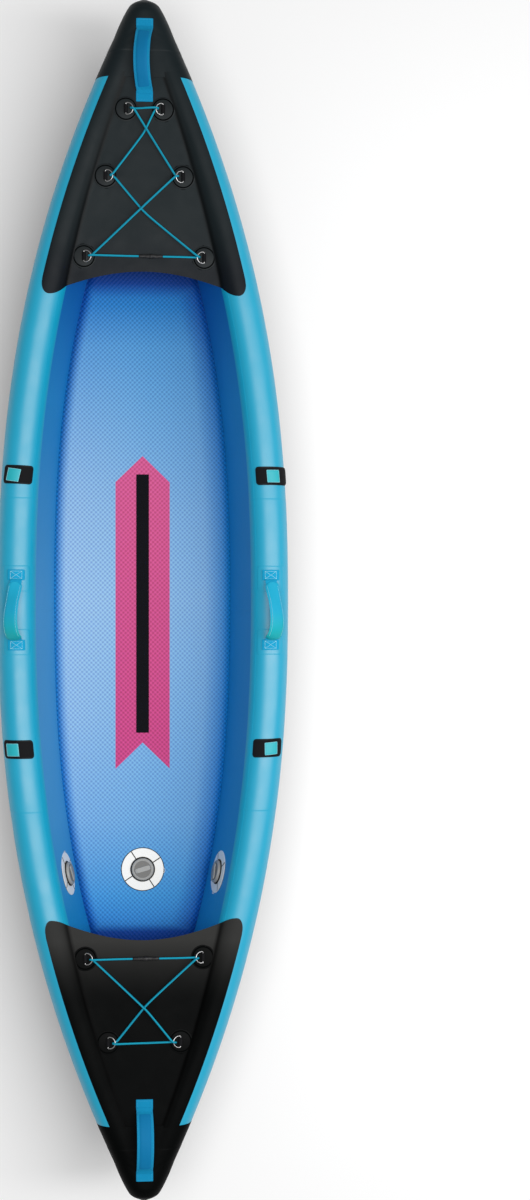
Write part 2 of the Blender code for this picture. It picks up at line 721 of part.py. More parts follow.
def handle_grip(name, start, end, lean, material, width):
    """Padded grip that arches between two tabs; it swings about the line through its ends."""
    start, end = Vector(start), Vector(end)
    axis = (end - start).normalized()
    upright = (Vector((0, 0, 1)) - axis * axis.z).normalized()
    sideways = upright.cross(axis)
    rise = upright * cos(lean) + sideways * sin(lean)
    centres, widths, thicknesses, across = [], [], [], []
    for k in range(11):
        share = k / 10
        arch = sin(pi * share) ** 0.75
        centres.append((end - start) * share - (end - start) / 2 + rise * GRIP_LIFT * arch)
        fullness = min(1.0, arch / 0.62)
        widths.append(0.012 + (width - 0.012) * fullness)
        thicknesses.append(0.003 + 0.004 * fullness)
        across.append(axis.cross(rise))
    bm = bmesh.new()
    band(bm, centres, widths, thicknesses, across)
    finish(bm, name, material, Matrix.Translation((start + end) / 2))


def middle_handle(end, limits):
    """Handle on the centreline: a glued base strip with a tab at each end, and the grip between the tabs."""
    outer, inner = limits
    side = 1 if outer > 0 else -1
    length = abs(outer - inner)
    rows = (0, 0.028, 0.0295, 0.06, 0.095, 0.13, 0.17, 0.2, length - 0.0295, length - 0.028, length)
    material = make_material("web_blue", WEB_BLUE, 0.7)
    lower, upper = [], []
    for run in rows:
        y = outer - side * run
        base = middle_height(y) + 0.0009
        tab = run < 0.0285 or run > length - 0.0285
        thick = TAB_THICK if tab else WEBBING_THICK
        lower.append([(x, y, base) for x in (-WEBBING_WIDTH / 2, WEBBING_WIDTH / 2)])
        upper.append([(x, y, base + thick) for x in (-WEBBING_WIDTH / 2, WEBBING_WIDTH / 2)])
    bm = bmesh.new()
    thick_sheet(bm, lower, upper)
    finish(bm, end + "_handle_base", material)
    hinge = []
    for run in (TAB_LENGTH + GRIP_CLEAR, length - TAB_LENGTH - GRIP_CLEAR):
        y = outer - side * run
        hinge.append((0, y, middle_height(y) + GRIP_PIVOT))
    handle_grip(end + "_handle_grip", hinge[0], hinge[1], GRIP_LEANS[end], material, 0.044)


def side_handle(name, side):
    """Handle on top of a rail, arching outboard."""
    material = make_material("web_cyan", WEB_CYAN, 0.6)
    spread = WEBBING_WIDTH / 2 / RAIL_RADIUS
    angles = [pi / 2 + spread * s for s in (-1, -0.5, 0, 0.5, 1)]
    top, bottom = SIDE_HANDLE_Y + SIDE_HANDLE_HALF, SIDE_HANDLE_Y - SIDE_HANDLE_HALF
    rows = (top, top - 0.028, top - 0.0295, top - 0.07, SIDE_HANDLE_Y, bottom + 0.07, bottom + 0.0295,
            bottom + 0.028, bottom)
    grids = []
    for layer in (0, 1):
        grid = []
        for y in rows:
            tab = min(top - y, y - bottom) < 0.0285
            lift = SKIN_GAP + layer * (TAB_THICK if tab else WEBBING_THICK)
            grid.append([Vector((side * p.x, p.y, p.z)) for p in (rail_point(y, a, lift) for a in angles)])
        grids.append(grid)
    bm = bmesh.new()
    thick_sheet(bm, *grids)
    finish(bm, name + "_handle_base", material)
    ends = []
    for y in (top - TAB_LENGTH - GRIP_CLEAR, bottom + TAB_LENGTH + GRIP_CLEAR):
        x, z = rail_centre(y)
        ends.append((side * x, y, z + RAIL_RADIUS + GRIP_PIVOT))
    handle_grip(name + "_handle_grip", ends[0], ends[1], side * GRIP_LEANS["side"], material, 0.040)


def handles():
    middle_handle("bow", BOW_HANDLE)
    middle_handle("stern", STERN_HANDLE)
    side_handle("left", -1)
    side_handle("right", 1)


# ---- paddle holders -----------------------------------------------------------------------------------------
def rail_sheet(name, side, y_range, angle_range, lifts, steps, material, origin):
    """Curved sheet that wraps a rail between two angles, with its origin at a given point."""
    angles = [angle_range[0] + (angle_range[1] - angle_range[0]) * k / steps for k in range(steps + 1)]
    ys = [y_range[0] + (y_range[1] - y_range[0]) * k / 2 for k in range(3)]
    grids = [[[Vector((side * p.x, p.y, p.z)) - origin for p in (rail_point(y, a, lift) for a in angles)]
              for y in ys] for lift in lifts]
    bm = bmesh.new()
    thick_sheet(bm, *grids)
    finish(bm, name, material, Matrix.Translation(origin))


def paddle_holders():
    """Four holders on the rails: a pad glued round the rail, and a strap hinged at its inboard edge."""
    strap = make_material("black_strap", BLACK, 0.8)
    for side, label in ((-1, "left"), (1, "right")):
        for spot, y in PADDLE_PLACES.items():
            name = f"{label}_{spot}_paddle"
            rail_sheet(name + "_pad", side, (y - 0.0275, y + 0.0275), PAD_ARC, (SKIN_GAP, SKIN_GAP + 0.002), 8,
                       make_material("black_pvc", BLACK, 0.45), Vector())
            hinge = rail_point(y, *PADDLE_HINGE)
            hinge.x *= side
            rail_sheet(name + "_strap", side, (y - 0.025, y + 0.025), PADDLE_STRAP_ARC,
                       (SKIN_GAP + 0.0024, SKIN_GAP + 0.0056), 8, strap, hinge)


# ---- floor strip and fin box --------------------------------------------------------------------------------
def seat_hook_strip():
    """Hook-and-loop strip along the middle of the floor that the seats fasten to."""
    bm = bmesh.new()
    base = BOARD_THICK + GAP
    box_mesh(bm, (-STRIP_WIDTH / 2, STRIP_ENDS[1], base), (STRIP_WIDTH / 2, STRIP_ENDS[0], base + 0.002))
    finish(bm, "seat_hook_strip", make_material("hook_strip", (0.006, 0.006, 0.007), 0.9), smooth=False)


def fin_box():
    """Slide-in fin box under the stern: a glued patch and a moulded box with a channel and two drain holes."""
    slope = (rocker(-0.80) - rocker(-1.10)) / 0.30
    place = (Matrix.Translation((0, FIN_Y, rocker(FIN_Y) - GAP)) @ Matrix.Rotation(atan(slope), 4, "X")
             @ Matrix.Rotation(pi, 4, "Y"))
    black = make_material("black_pvc", BLACK, 0.45)
    bm = bmesh.new()
    plate(bm, rounded_outline(*FIN_PATCH, 0.028), 0, 0.0018)
    patch = finish(bm, "fin_box_patch", black, place)
    bm = bmesh.new()
    base = 0.0018 + GAP
    plate(bm, rounded_outline(*FIN_BOX, 0.036), base, base + FIN_BOX_THICK, 0.006)
    box = finish(bm, "fin_box", make_material("moulded_black", BLACK, 0.35), place)
    bm = bmesh.new()
    plate(bm, rounded_outline(*FIN_CHANNEL, 0.006, 2), base + 0.002, 0.05)
    boolean(box, cutter(bm, "fin_channel", place), "DIFFERENCE")
    bm = bmesh.new()
    front = FIN_CHANNEL[1] / 2
    box_mesh(bm, (-0.023, front - 0.022, base + 0.004), (0.023, front - 0.008, 0.05))
    boolean(box, cutter(bm, "fin_notch", place), "DIFFERENCE")
    for number, y in enumerate(FIN_HOLES):
        bm = bmesh.new()
        bmesh.ops.create_cone(bm, cap_ends=True, segments=16, radius1=FIN_HOLE_RADIUS, radius2=FIN_HOLE_RADIUS,
                              depth=0.1)
        hole = cutter(bm, f"fin_hole_{number}", place @ Matrix.Translation((0, y, 0)))
        boolean(box, hole, "DIFFERENCE")
        boolean(patch, hole, "DIFFERENCE")


def build():
    clear_scene()
    floor_chamber()
    side_chambers()
    end_cap("bow_nose_cap", 1)
    end_cap("stern_nose_cap", -1)
    deck("bow_deck", 1, DECK_BOW_EDGE)
    deck("stern_deck", -1, DECK_STERN_EDGE)
    valves()
    lacing_rings()
    lacing()
    handles()
    paddle_holders()
    seat_hook_strip()
    fin_box()


build()
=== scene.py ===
"""Looks of the inflatable kayak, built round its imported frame.

Metres. +Y points to the bow, +X to starboard and +Z up, as in the frame. The hull's formulas are those of the
solids, sampled finely, so each skin lies on the solid that it stands for.
"""

from math import acos, asin, atan, ceil, cos, hypot, pi, radians, sin, sqrt

import bmesh
import bpy
import numpy as np
from mathutils import Matrix, Vector, noise


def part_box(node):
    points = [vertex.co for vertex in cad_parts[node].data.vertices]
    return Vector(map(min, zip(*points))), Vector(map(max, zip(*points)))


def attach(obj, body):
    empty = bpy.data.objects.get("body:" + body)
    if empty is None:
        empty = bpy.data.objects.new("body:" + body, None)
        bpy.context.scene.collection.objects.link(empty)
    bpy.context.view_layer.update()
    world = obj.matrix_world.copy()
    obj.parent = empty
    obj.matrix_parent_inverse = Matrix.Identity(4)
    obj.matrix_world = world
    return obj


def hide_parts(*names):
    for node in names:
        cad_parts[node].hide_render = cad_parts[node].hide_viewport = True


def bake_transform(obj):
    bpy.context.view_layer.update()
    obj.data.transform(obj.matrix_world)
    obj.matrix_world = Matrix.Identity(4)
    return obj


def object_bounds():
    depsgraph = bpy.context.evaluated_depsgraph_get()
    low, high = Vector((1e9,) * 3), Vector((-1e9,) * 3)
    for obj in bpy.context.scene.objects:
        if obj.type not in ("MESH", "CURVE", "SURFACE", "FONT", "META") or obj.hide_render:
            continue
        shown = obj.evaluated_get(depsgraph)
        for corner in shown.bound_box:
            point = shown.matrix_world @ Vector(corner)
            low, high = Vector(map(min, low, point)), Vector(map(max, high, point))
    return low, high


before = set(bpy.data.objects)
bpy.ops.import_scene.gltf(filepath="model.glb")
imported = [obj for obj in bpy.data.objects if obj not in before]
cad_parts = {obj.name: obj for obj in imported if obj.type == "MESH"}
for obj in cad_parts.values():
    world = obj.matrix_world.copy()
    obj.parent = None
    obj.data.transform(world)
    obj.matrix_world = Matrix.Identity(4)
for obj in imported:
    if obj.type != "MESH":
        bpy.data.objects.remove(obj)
CAD_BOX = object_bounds()

# ---- dimensions of the hull --------------------------------------------------
HALF_LENGTH = CAD_BOX[1].y
BEAM_HALF = CAD_BOX[1].x
PLAN_REACH, PLAN_POWER = 1.81, 2.3
TIP_RUN, TIP_RADIUS, TIP_LEAST = 0.110, 0.043, 0.012     # blunt end: length, radius and least half width
TIP_FLARE, TIP_SWELL, TIP_BLEND = 0.25, 0.003, 20
RAIL_RADIUS = 0.055
RAIL_TOP, SHEER_RISE = 0.365, 0.075
LEAN = radians(15)
BOARD_HALF, BOARD_THICK = 0.325, 0.100
BOARD_POWER = {"bow": 2.3, "stern": 2.5}
BOARD_SHAPE = {"bow": 1.05, "stern": 0.95}
FLOOR_HALF, FLOOR_REACH, FLOOR_POWER = 0.268, 0.817, 2.55
ROCKER_START, ROCKER_RISE = 0.55, 0.16
ROCKER_KNOTS = (-1.75, -1.53, -1.35, -1.17, -0.76, -0.55, 0.55, 0.76, 0.97, 1.17, 1.35, 1.53, 1.75)
ROCKER_EASE = 0.04          # each bend of the bottom is eased over this run to both sides
CAP_LENGTH = 0.2185
CROWN_START, CROWN_RUN = 0.185, 0.125
GAP = 0.0003
SKIN_GAP = 0.0011
DECK_GAP, DECK_THICK = 0.0018, 0.003
DECK_RISE = {"bow": (0.022, 0.744, 0.047), "stern": (0.030, 0.708, 0.032)}
DECK_EDGE_INSET = 0.038
DECK_EDGES = {"bow": (0.786, 0.830, 0.858, 0.810), "stern": (0.753, 0.800, 0.817, 0.765)}    # from the tip
VALLEY_SHARE, CORNER_SHARE = 0.60, 0.86      # a deck's half width runs from 0 to 1: its valley and its corner

HULL_END = HALF_LENGTH - CAP_LENGTH + 0.004
STATION_STEP = 0.018
CRACK_DEPTH, CRACK_WIDTH = 0.009, 0.024      # groove where the floor meets the side chambers
FOOT_ROUND = 0.012

# ---- dimensions of the fittings ----------------------------------------------
RING_WIRE, RING_WIDTH, RING_DEPTH = 0.0018, 0.030, 0.022
RING_TILT = radians(20)
RING_BAR_HEIGHT = 0.0058
CORD_RADIUS = 0.003
PATCH_RADIUS = 0.0285
VALVE_RING, VALVE_FLANGE, VALVE_WELL, CAP_RADIUS = 0.065, 0.036, 0.021, 0.034
CAP_BASE = 0.0034
TAB_LENGTH = 0.029
WEBBING_WIDTH = 0.049
GRIP_CLEAR, GRIP_PIVOT, GRIP_LIFT = 0.004, 0.010, 0.034
GRIP_LEANS = {"bow": radians(-17), "stern": radians(-4), "side": radians(28)}


def end_of(y):
    return "bow" if y > 0 else "stern"


def node_middle(name):
    low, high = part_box(name)
    return (low + high) / 2


# ---- shape of the hull -------------------------------------------------------
def rocker(y):
    """Height of the bottom: straight stretches between the knots, eased into each other."""
    heights = [ROCKER_RISE * (max(0.0, abs(k) - ROCKER_START) / (HALF_LENGTH - ROCKER_START)) ** 2
               for k in ROCKER_KNOTS]
    around = y + ROCKER_EASE * np.linspace(-1, 1, 9)
    return float(np.interp(around, ROCKER_KNOTS, heights).mean())


def bottom_angle(fore, aft):
    """Slope of the bottom between two stations, as an angle."""
    return atan((rocker(fore) - rocker(aft)) / (fore - aft))


def rail_top(y):
    return RAIL_TOP + SHEER_RISE * (y / HALF_LENGTH) ** 2


def half_beam(y):
    """Half beam at the rails, with the blunt round of the ends."""
    from_tip = HALF_LENGTH - abs(y)
    side = BEAM_HALF * (1 - (abs(y) / PLAN_REACH) ** PLAN_POWER)
    if from_tip < TIP_RUN:
        run = max(1e-4, from_tip)
        side += TIP_SWELL * sin(pi * run / TIP_RUN)
        blunt = sqrt(2 * TIP_RADIUS * run) + TIP_FLARE * run
        side = (side ** -TIP_BLEND + blunt ** -TIP_BLEND) ** (-1 / TIP_BLEND)
    return max(side, TIP_LEAST)


def board_half(y):
    share = min(1.0, abs(y) / HALF_LENGTH)
    return BOARD_HALF * (1 - share ** BOARD_POWER[end_of(y)]) ** BOARD_SHAPE[end_of(y)]


def floor_half(y):
    share = abs(y) / HALF_LENGTH / FLOOR_REACH
    return max(FLOOR_HALF * (1 - share ** FLOOR_POWER), GAP) if share < 1 else GAP


def rail_centre(y):
    """Centre of the rail's rounding: distance from the centreline, and height."""
    return half_beam(y) - RAIL_RADIUS, rail_top(y) - RAIL_RADIUS


def rail_point(y, angle, lift, side=1):
    """A point on a rail, at an angle from straight outboard and lifted off the skin."""
    x, z = rail_centre(y)
    reach = RAIL_RADIUS + lift
    return Vector((side * (x + reach * cos(angle)), y, z + reach * sin(angle)))


def deck_rise(y):
    """Height of a deck's flat above the centre of the rail's rounding; it climbs the rail towards the tip."""
    low, start, climb = DECK_RISE[end_of(y)]
    return low + climb * (start - (HALF_LENGTH - abs(y)))


def deck_height(y):
    return rail_centre(y)[1] + deck_rise(y) + DECK_GAP + DECK_THICK


def deck_frame(x, y):
    """Frame on a deck's flat, with Z square to the deck."""
    step = 0.01
    slope = (deck_height(y + step) - deck_height(y - step)) / (2 * step)
    return Matrix.Translation((x, y, deck_height(y) + SKIN_GAP)) @ Matrix.Rotation(atan(slope), 4, "X")


def stations(low, high):
    return np.linspace(low, high, max(2, round((high - low) / STATION_STEP)) + 1)


def clamp(share):
    return min(1.0, max(0.0, share))


def smooth_step(share):
    return share * share * (3 - 2 * share)


def bell(offset):
    """Bell curve: 1 at an offset of 0, and nearly 0 beyond 2."""
    return np.exp(-offset ** 2)


# ---- mesh helpers ------------------------------------------------------------
def make_object(name, mesh, materials, body, slot, replaces=()):
    """Links a mesh as a piece that rides on a body and stands for CAD nodes; its slot is not used."""
    made = bpy.data.objects.new(name, mesh)
    for material in materials if isinstance(materials, (list, tuple)) else [materials]:
        mesh.materials.append(material)
    bpy.context.scene.collection.objects.link(made)
    if body:
        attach(made, body)
    if replaces:
        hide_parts(*replaces)
    return made


def mesh_from(points, faces, name, smooth_angle=40, kinds=None):
    """Mesh with outward faces; kinds gives each face its material's number."""
    mesh = bpy.data.meshes.new(name)
    mesh.from_pydata([tuple(map(float, p)) for p in points], [], faces)
    if kinds:
        mesh.polygons.foreach_set("material_index", kinds)
    bm = bmesh.new()
    bm.from_mesh(mesh)
    bmesh.ops.remove_doubles(bm, verts=bm.verts, dist=1e-6)
    bmesh.ops.recalc_face_normals(bm, faces=bm.faces)
    bm.to_mesh(mesh)
    bm.free()
    mesh.shade_smooth()
    mesh.set_sharp_from_angle(angle=radians(smooth_angle))
    return mesh


def join_meshes(parts):
    """Points and faces of several (points, faces) pairs as one pair."""
    points, faces = [], []
    for some_points, some_faces in parts:
        start = len(points)
        points += [tuple(map(float, p)) for p in some_points]
        faces += [tuple(start + i for i in face) for face in some_faces]
    return points, faces


def painted_mesh(parts, name, smooth_angle=40):
    """One mesh of several (part, material number) pairs."""
    kinds = [kind for (_, faces), kind in parts for _ in faces]
    return mesh_from(*join_meshes([part for part, _ in parts]), name, smooth_angle, kinds)


def set_values(mesh, name, values):
    """Gives each point of a mesh a number that its paint reads."""
    mesh.attributes.new(name, "FLOAT", "POINT").data.foreach_set("value", values)


def moved(part, place):
    points, faces = part
    return [place @ Vector(p) for p in points], faces


def grid_normals(grid):
    across = np.cross(np.gradient(grid, axis=0), np.gradient(grid, axis=1))
    return across / (np.linalg.norm(across, axis=2, keepdims=True) + 1e-12)


def sheet_part(grid, thick, toward, edge=0.0):
    """Closed sheet whose outer face is the grid; toward is a point or direction test for its outer side.

    An edge above zero rounds the sheet's rim over that share of its thickness.
    """
    grid = np.asarray(grid, float)
    normals = grid_normals(grid)
    middle = grid[grid.shape[0] // 2, grid.shape[1] // 2]
    if np.dot(normals[grid.shape[0] // 2, grid.shape[1] // 2], np.asarray(toward) - middle) < 0:
        normals = -normals
    outer = grid.copy()
    if edge:
        rim = np.zeros(grid.shape[:2])
        rim[0, :] = rim[-1, :] = rim[:, 0] = rim[:, -1] = edge
        outer = grid - normals * (thick * rim)[:, :, None]
    inner = grid - normals * thick
    rows, columns = grid.shape[:2]
    points = list(outer.reshape(-1, 3)) + list(inner.reshape(-1, 3))
    below = rows * columns
    faces = []
    for i in range(rows - 1):
        for j in range(columns - 1):
            a = i * columns + j
            quad = (a, a + 1, a + columns + 1, a + columns)
            faces.append(quad)
            faces.append(tuple(below + k for k in reversed(quad)))
    rim_loop = list(range(columns))
    rim_loop += [i * columns + columns - 1 for i in range(1, rows)]
    rim_loop += [(rows - 1) * columns + j for j in range(columns - 2, -1, -1)]
    rim_loop += [i * columns for i in range(rows - 2, 0, -1)]
    for a, b in zip(rim_loop, rim_loop[1:] + rim_loop[:1]):
        faces.append((a, b, below + b, below + a))
    return points, faces


def loft_part(rings):
    """Closed skin over rings of equal length."""
    count = len(rings[0])
    points = [p for ring in rings for p in ring]
    faces = []
    for r in range(len(rings) - 1):
        for i in range(count):
            j = (i + 1) % count
            faces.append((r * count + i, r * count + j, (r + 1) * count + j, (r + 1) * count + i))
    faces.append(tuple(range(count)))
    faces.append(tuple((len(rings) - 1) * count + i for i in range(count)))
    return points, faces


def turned_part(profile, sides, ripple=None):
    """Turns a profile of (radius, height) round Z; ripple(radius, height, angle) may change the radius."""
    rings = []
    for radius, height in profile:
        ring = []
        for k in range(sides):
            angle = 2 * pi * k / sides
            reach = max(radius, 1e-5)
            if ripple:
                reach = ripple(reach, height, angle)
            ring.append((reach * cos(angle), reach * sin(angle), height))
        rings.append(ring)
    return loft_part(rings)


def puck_part(radius, low, high, sides):
    """Plain disc between two heights."""
    return turned_part([(0, low), (radius, low), (radius, high), (0, high)], sides)


def band_ring(inner, outer, low, high):
    """Ring with a square section between two radii and two heights."""
    return turned_part([(inner, low), (outer, low), (outer, high), (inner, high)], 64)


def cut_away(mesh, part):
    """The mesh without the space of another closed part."""
    target = bpy.data.objects.new("cut_target", mesh)
    tool = bpy.data.objects.new("cut_tool", mesh_from(*part, "cut_tool"))
    for item in (target, tool):
        bpy.context.scene.collection.objects.link(item)
    step = target.modifiers.new("cut", "BOOLEAN")
    step.operation, step.solver, step.object = "DIFFERENCE", "EXACT", tool
    cut = bpy.data.meshes.new_from_object(target.evaluated_get(bpy.context.evaluated_depsgraph_get()))
    cut.name = mesh.name + "_cut"
    for item in (target, tool):
        bpy.data.objects.remove(item, do_unlink=True)
    return cut


def dense(outline, step):
    """The same closed outline with a point at least every step."""
    result = []
    for (ax, ay), (bx, by) in zip(outline, outline[1:] + outline[:1]):
        count = max(1, ceil(hypot(bx - ax, by - ay) / step))
        result += [(ax + (bx - ax) * k / count, ay + (by - ay) * k / count) for k in range(count)]
    return result


def laid_part(outline, surface, low, high, soft=0.0006, step=0.004):
    """Sheet cut to an outline (u, v) and laid on a surface(u, v, lift); soft rounds its upper edge."""
    outline = dense(outline, step)
    reach = max(hypot(u, v) for u, v in outline)
    shares = np.linspace(0.03, 1 - soft / reach, max(3, round(reach / 0.006)))

    def ring(share, lift):
        return [surface(u * share, v * share, lift) for u, v in outline]

    rings = [ring(share, high) for share in shares]
    rings += [ring(1 - 0.3 * soft / reach, high - 0.3 * soft), ring(1, high - soft), ring(1, low)]
    rings += [ring(share, low) for share in reversed(shares)]
    return loft_part(rings)


def seam(path, surface, lift, step=0.003):
    """A seam's run on a surface, as stitch_part takes it: points, and the way out of the cloth at each."""
    path = [Vector(p) for p in path]
    points, ups = [], []
    for a, b in zip(path, path[1:]):
        count = max(1, ceil((b - a).length / step))
        for k in range(count + 1):
            u, v = a.lerp(b, k / count)
            points.append(surface(u, v, lift))
            ups.append(surface(u, v, lift + 0.001) - surface(u, v, lift))
    return points, ups


def rounded_outline(width, length, corner, steps=6):
    outline = []
    for quarter, (sx, sy) in enumerate(((1, 1), (-1, 1), (-1, -1), (1, -1))):
        for k in range(steps + 1):
            angle = (quarter + k / steps) * pi / 2
            outline.append((sx * (width / 2 - corner) + corner * cos(angle),
                            sy * (length / 2 - corner) + corner * sin(angle)))
    return outline


def tube_part(points, radius, sides=10):
    """Tube along points with turning kept steady along its run."""
    points = [Vector(p) for p in points]
    rings = []
    side = None
    for k, point in enumerate(points):
        along = (points[min(k + 1, len(points) - 1)] - points[max(k - 1, 0)]).normalized()
        if side is None:
            side = along.orthogonal().normalized()
        side = (side - along * side.dot(along)).normalized()
        up = along.cross(side)
        rings.append([point + (side * cos(2 * pi * i / sides) + up * sin(2 * pi * i / sides)) * radius
                      for i in range(sides)])
    return loft_part(rings)


def band_part(centres, across, widths, thicknesses, crown=0.0):
    """Flat band with round edges along a run of points; a crown swells its middle."""
    centres = [Vector(c) for c in centres]
    rings = []
    for k, centre in enumerate(centres):
        along = (centres[min(k + 1, len(centres) - 1)] - centres[max(k - 1, 0)]).normalized()
        side = (Vector(across[k]) - along * Vector(across[k]).dot(along)).normalized()
        up = side.cross(along)
        half, thick = widths[k] / 2, thicknesses[k] / 2
        ring = []
        for sign in (1, -1):
            for share in np.linspace(-1, 1, 9):
                x = sign * share
                swell = 1 + crown * (1 - x * x)
                height = thick * swell * sqrt(max(0.0, 1 - abs(x) ** 6))
                ring.append(centre + side * (x * half) + up * (-sign * height))
        rings.append(ring)
    return loft_part(rings)


def resample(points, count):
    """The same run of points with equal steps."""
    points = np.asarray(points, float)
    run = np.concatenate([[0], np.cumsum(np.linalg.norm(np.diff(points, axis=0), axis=1))])
    wanted = np.linspace(0, run[-1], count)
    return np.stack([np.interp(wanted, run, points[:, axis]) for axis in range(3)], axis=1)


def eased(points, turns):
    """Rounds the corners of an open run of points; its ends stay."""
    points = np.array(points, float)
    for _ in range(turns):
        points[1:-1] = points[1:-1] * 0.5 + (points[:-2] + points[2:]) * 0.25
    return points


def stitch_part(lines, length=0.0030, pitch=0.0044, width=0.0010, height=0.0007):
    """Rows of short stitches. A line is (points, ups): the run of the seam and the way out of its cloth."""
    parts = []
    for points, ups in lines:
        points = [Vector(p) for p in points]
        runs = [0.0]
        for a, b in zip(points, points[1:]):
            runs.append(runs[-1] + (b - a).length)
        at = pitch / 2
        while at < runs[-1]:
            k = max(i for i in range(len(runs)) if runs[i] <= at)
            share = (at - runs[k]) / max(runs[k + 1] - runs[k], 1e-9)
            centre = points[k].lerp(points[k + 1], share)
            along = (points[k + 1] - points[k]).normalized()
            up = Vector(ups[k]).lerp(Vector(ups[k + 1]), share).normalized()
            side = along.cross(up).normalized()
            rings = []
            for s in (-1, -0.7, 0, 0.7, 1):
                size = sqrt(max(0.04, 1 - s * s))
                rings.append([centre + along * (s * length / 2) + side * (cos(a) * width / 2 * size)
                              + up * (sin(a) * height * size) for a in (2 * pi * i / 6 for i in range(6))])
            parts.append(loft_part(rings))
            at += pitch
    return join_meshes(parts)


# ---- materials ---------------------------------------------------------------
def srgb(red, green, blue):
    """Linear colour of an 8-bit screen colour."""
    shares = [value / 255 for value in (red, green, blue)]
    return (*[c / 12.92 if c <= 0.04045 else ((c + 0.055) / 1.055) ** 2.4 for c in shares], 1.0)


class Paint:
    """One procedural Principled material under construction."""

    def __init__(self, name, colour, roughness, metallic=0.0, specular=0.5, tint=(1.0, 1.0, 1.0, 1.0)):
        self.material = bpy.data.materials.new(name)
        self.material.use_nodes = True
        self.tree = self.material.node_tree
        self.shader = self.tree.nodes["Principled BSDF"]
        self.shader.inputs["Base Color"].default_value = colour
        self.shader.inputs["Roughness"].default_value = roughness
        self.shader.inputs["Metallic"].default_value = metallic
        self.shader.inputs["Specular IOR Level"].default_value = specular
        self.shader.inputs["Specular Tint"].default_value = tint
        self.place = self.node("ShaderNodeTexCoord").outputs["Object"]
        self.x, self.y, self.z = self.node("ShaderNodeSeparateXYZ", self.place).outputs

    def feed(self, socket, value):
        if isinstance(value, bpy.types.NodeSocket):
            self.tree.links.new(value, socket)
        elif value is not None:
            socket.default_value = value

    def node(self, kind, *values, **settings):
        made = self.tree.nodes.new(kind)
        for key, value in settings.items():
            setattr(made, key, value)
        for socket, value in zip(made.inputs, values):
            self.feed(socket, value)
        return made

    def math(self, operation, a, b=None, c=None, **settings):
        return self.node("ShaderNodeMath", a, b, c, operation=operation, **settings).outputs[0]

    def wave(self, coordinate, pitch, phase=0.0):
        """Sine of a coordinate with a pitch in metres."""
        return self.math("SINE", self.math("MULTIPLY_ADD", coordinate, 2 * pi / pitch, phase))

    def noise(self, scale, detail):
        made = self.node("ShaderNodeTexNoise")
        self.feed(made.inputs["Vector"], self.place)
        made.inputs["Scale"].default_value = scale
        made.inputs["Detail"].default_value = detail
        return made.outputs["Fac"]

    def attribute(self, name):
        return self.node("ShaderNodeAttribute", attribute_name=name).outputs["Fac"]

    def range(self, value, low, high, to_low, to_high):
        return self.node("ShaderNodeMapRange", value, low, high, to_low, to_high).outputs[0]

    def mix(self, factor, a, b, blend="MIX"):
        made = self.node("ShaderNodeMix", data_type="RGBA", blend_type=blend)
        self.feed(made.inputs[0], factor)
        self.feed(made.inputs[6], a)
        self.feed(made.inputs[7], b)
        return made.outputs[2]

    def ramp(self, value, *stops):
        """Colour ramp; each stop is its place from 0 to 1 and its screen colour."""
        made = self.node("ShaderNodeValToRGB", value)
        elements = made.color_ramp.elements
        for element, (place, *colour) in zip(elements, (stops[0], stops[-1])):
            element.position, element.color = place, srgb(*colour)
        for place, *colour in stops[1:-1]:
            elements.new(place).color = srgb(*colour)
        return made.outputs["Color"]

    def colour(self, value):
        self.feed(self.shader.inputs["Base Color"], value)

    def roughness(self, value, low, high):
        self.feed(self.shader.inputs["Roughness"], self.range(value, 0.3, 0.7, low, high))

    def bump(self, *layers):
        """Layers of (height socket, depth in metres), added up into one normal."""
        total = None
        for height, depth in layers:
            part = self.math("MULTIPLY", height, depth)
            total = part if total is None else self.math("ADD", total, part)
        made = self.node("ShaderNodeBump")
        made.inputs["Strength"].default_value = 1.0
        made.inputs["Distance"].default_value = 1.0
        self.feed(made.inputs["Height"], total)
        self.feed(self.shader.inputs["Normal"], made.outputs["Normal"])


BRAID_PITCH, HOOK_PITCH = 0.0042, 0.0019
# Scale and detail of the noise for clouding, patchy gloss, pebble grain and slow ripples
CLOUD, GLOSS, PEBBLE, RIPPLE = (3.5, 3), (14, 3), (750, 2), (9, 2)
BLACK, WHITE = (0.0, 0.0, 0.0, 1), (1.0, 1.0, 1.0, 1)


def shade(colour, factor):
    return tuple(min(1.0, c * factor) for c in colour[:3]) + (1.0,)


def deck_paint(name, colour, painted_edge_light, specular):
    """Deck fabric: coated black, with painted shade along its creases and painted light towards the cockpit:
    a painted highlight on the stern deck, painted shade on the bow deck.
    """
    paint = Paint(name, colour, 0.5, specular=specular)
    cloud = paint.mix(paint.noise(*CLOUD), shade(colour, 0.9), shade(colour, 1.1))
    # Painted light near the open edge: a painted highlight on the stern deck, painted shade on the bow deck.
    fabric = paint.mix(paint.attribute("painted_edge_light"), cloud, painted_edge_light)
    # Painted shade: the colour turns towards black along each valley crease.
    paint.colour(paint.mix(paint.attribute("crease_shade"), fabric, BLACK))
    paint.roughness(paint.noise(*GLOSS), 0.46, 0.55)
    paint.bump((paint.noise(*PEBBLE), 0.00016), (paint.noise(*RIPPLE), 0.0022))
    return paint


def coated(name, colour, roughness, spread=0.06, grain=0.00012, **shine):
    """Coated fabric: even colour with faint clouding, a fine pebble grain and patchy gloss."""
    paint = Paint(name, colour, roughness, **shine)
    paint.colour(paint.mix(paint.noise(*CLOUD), shade(colour, 1 - spread), shade(colour, 1 + spread)))
    paint.roughness(paint.noise(*GLOSS), roughness - 0.04, roughness + 0.05)
    paint.bump((paint.noise(*PEBBLE), grain), (paint.noise(*RIPPLE), grain * 14))
    return paint


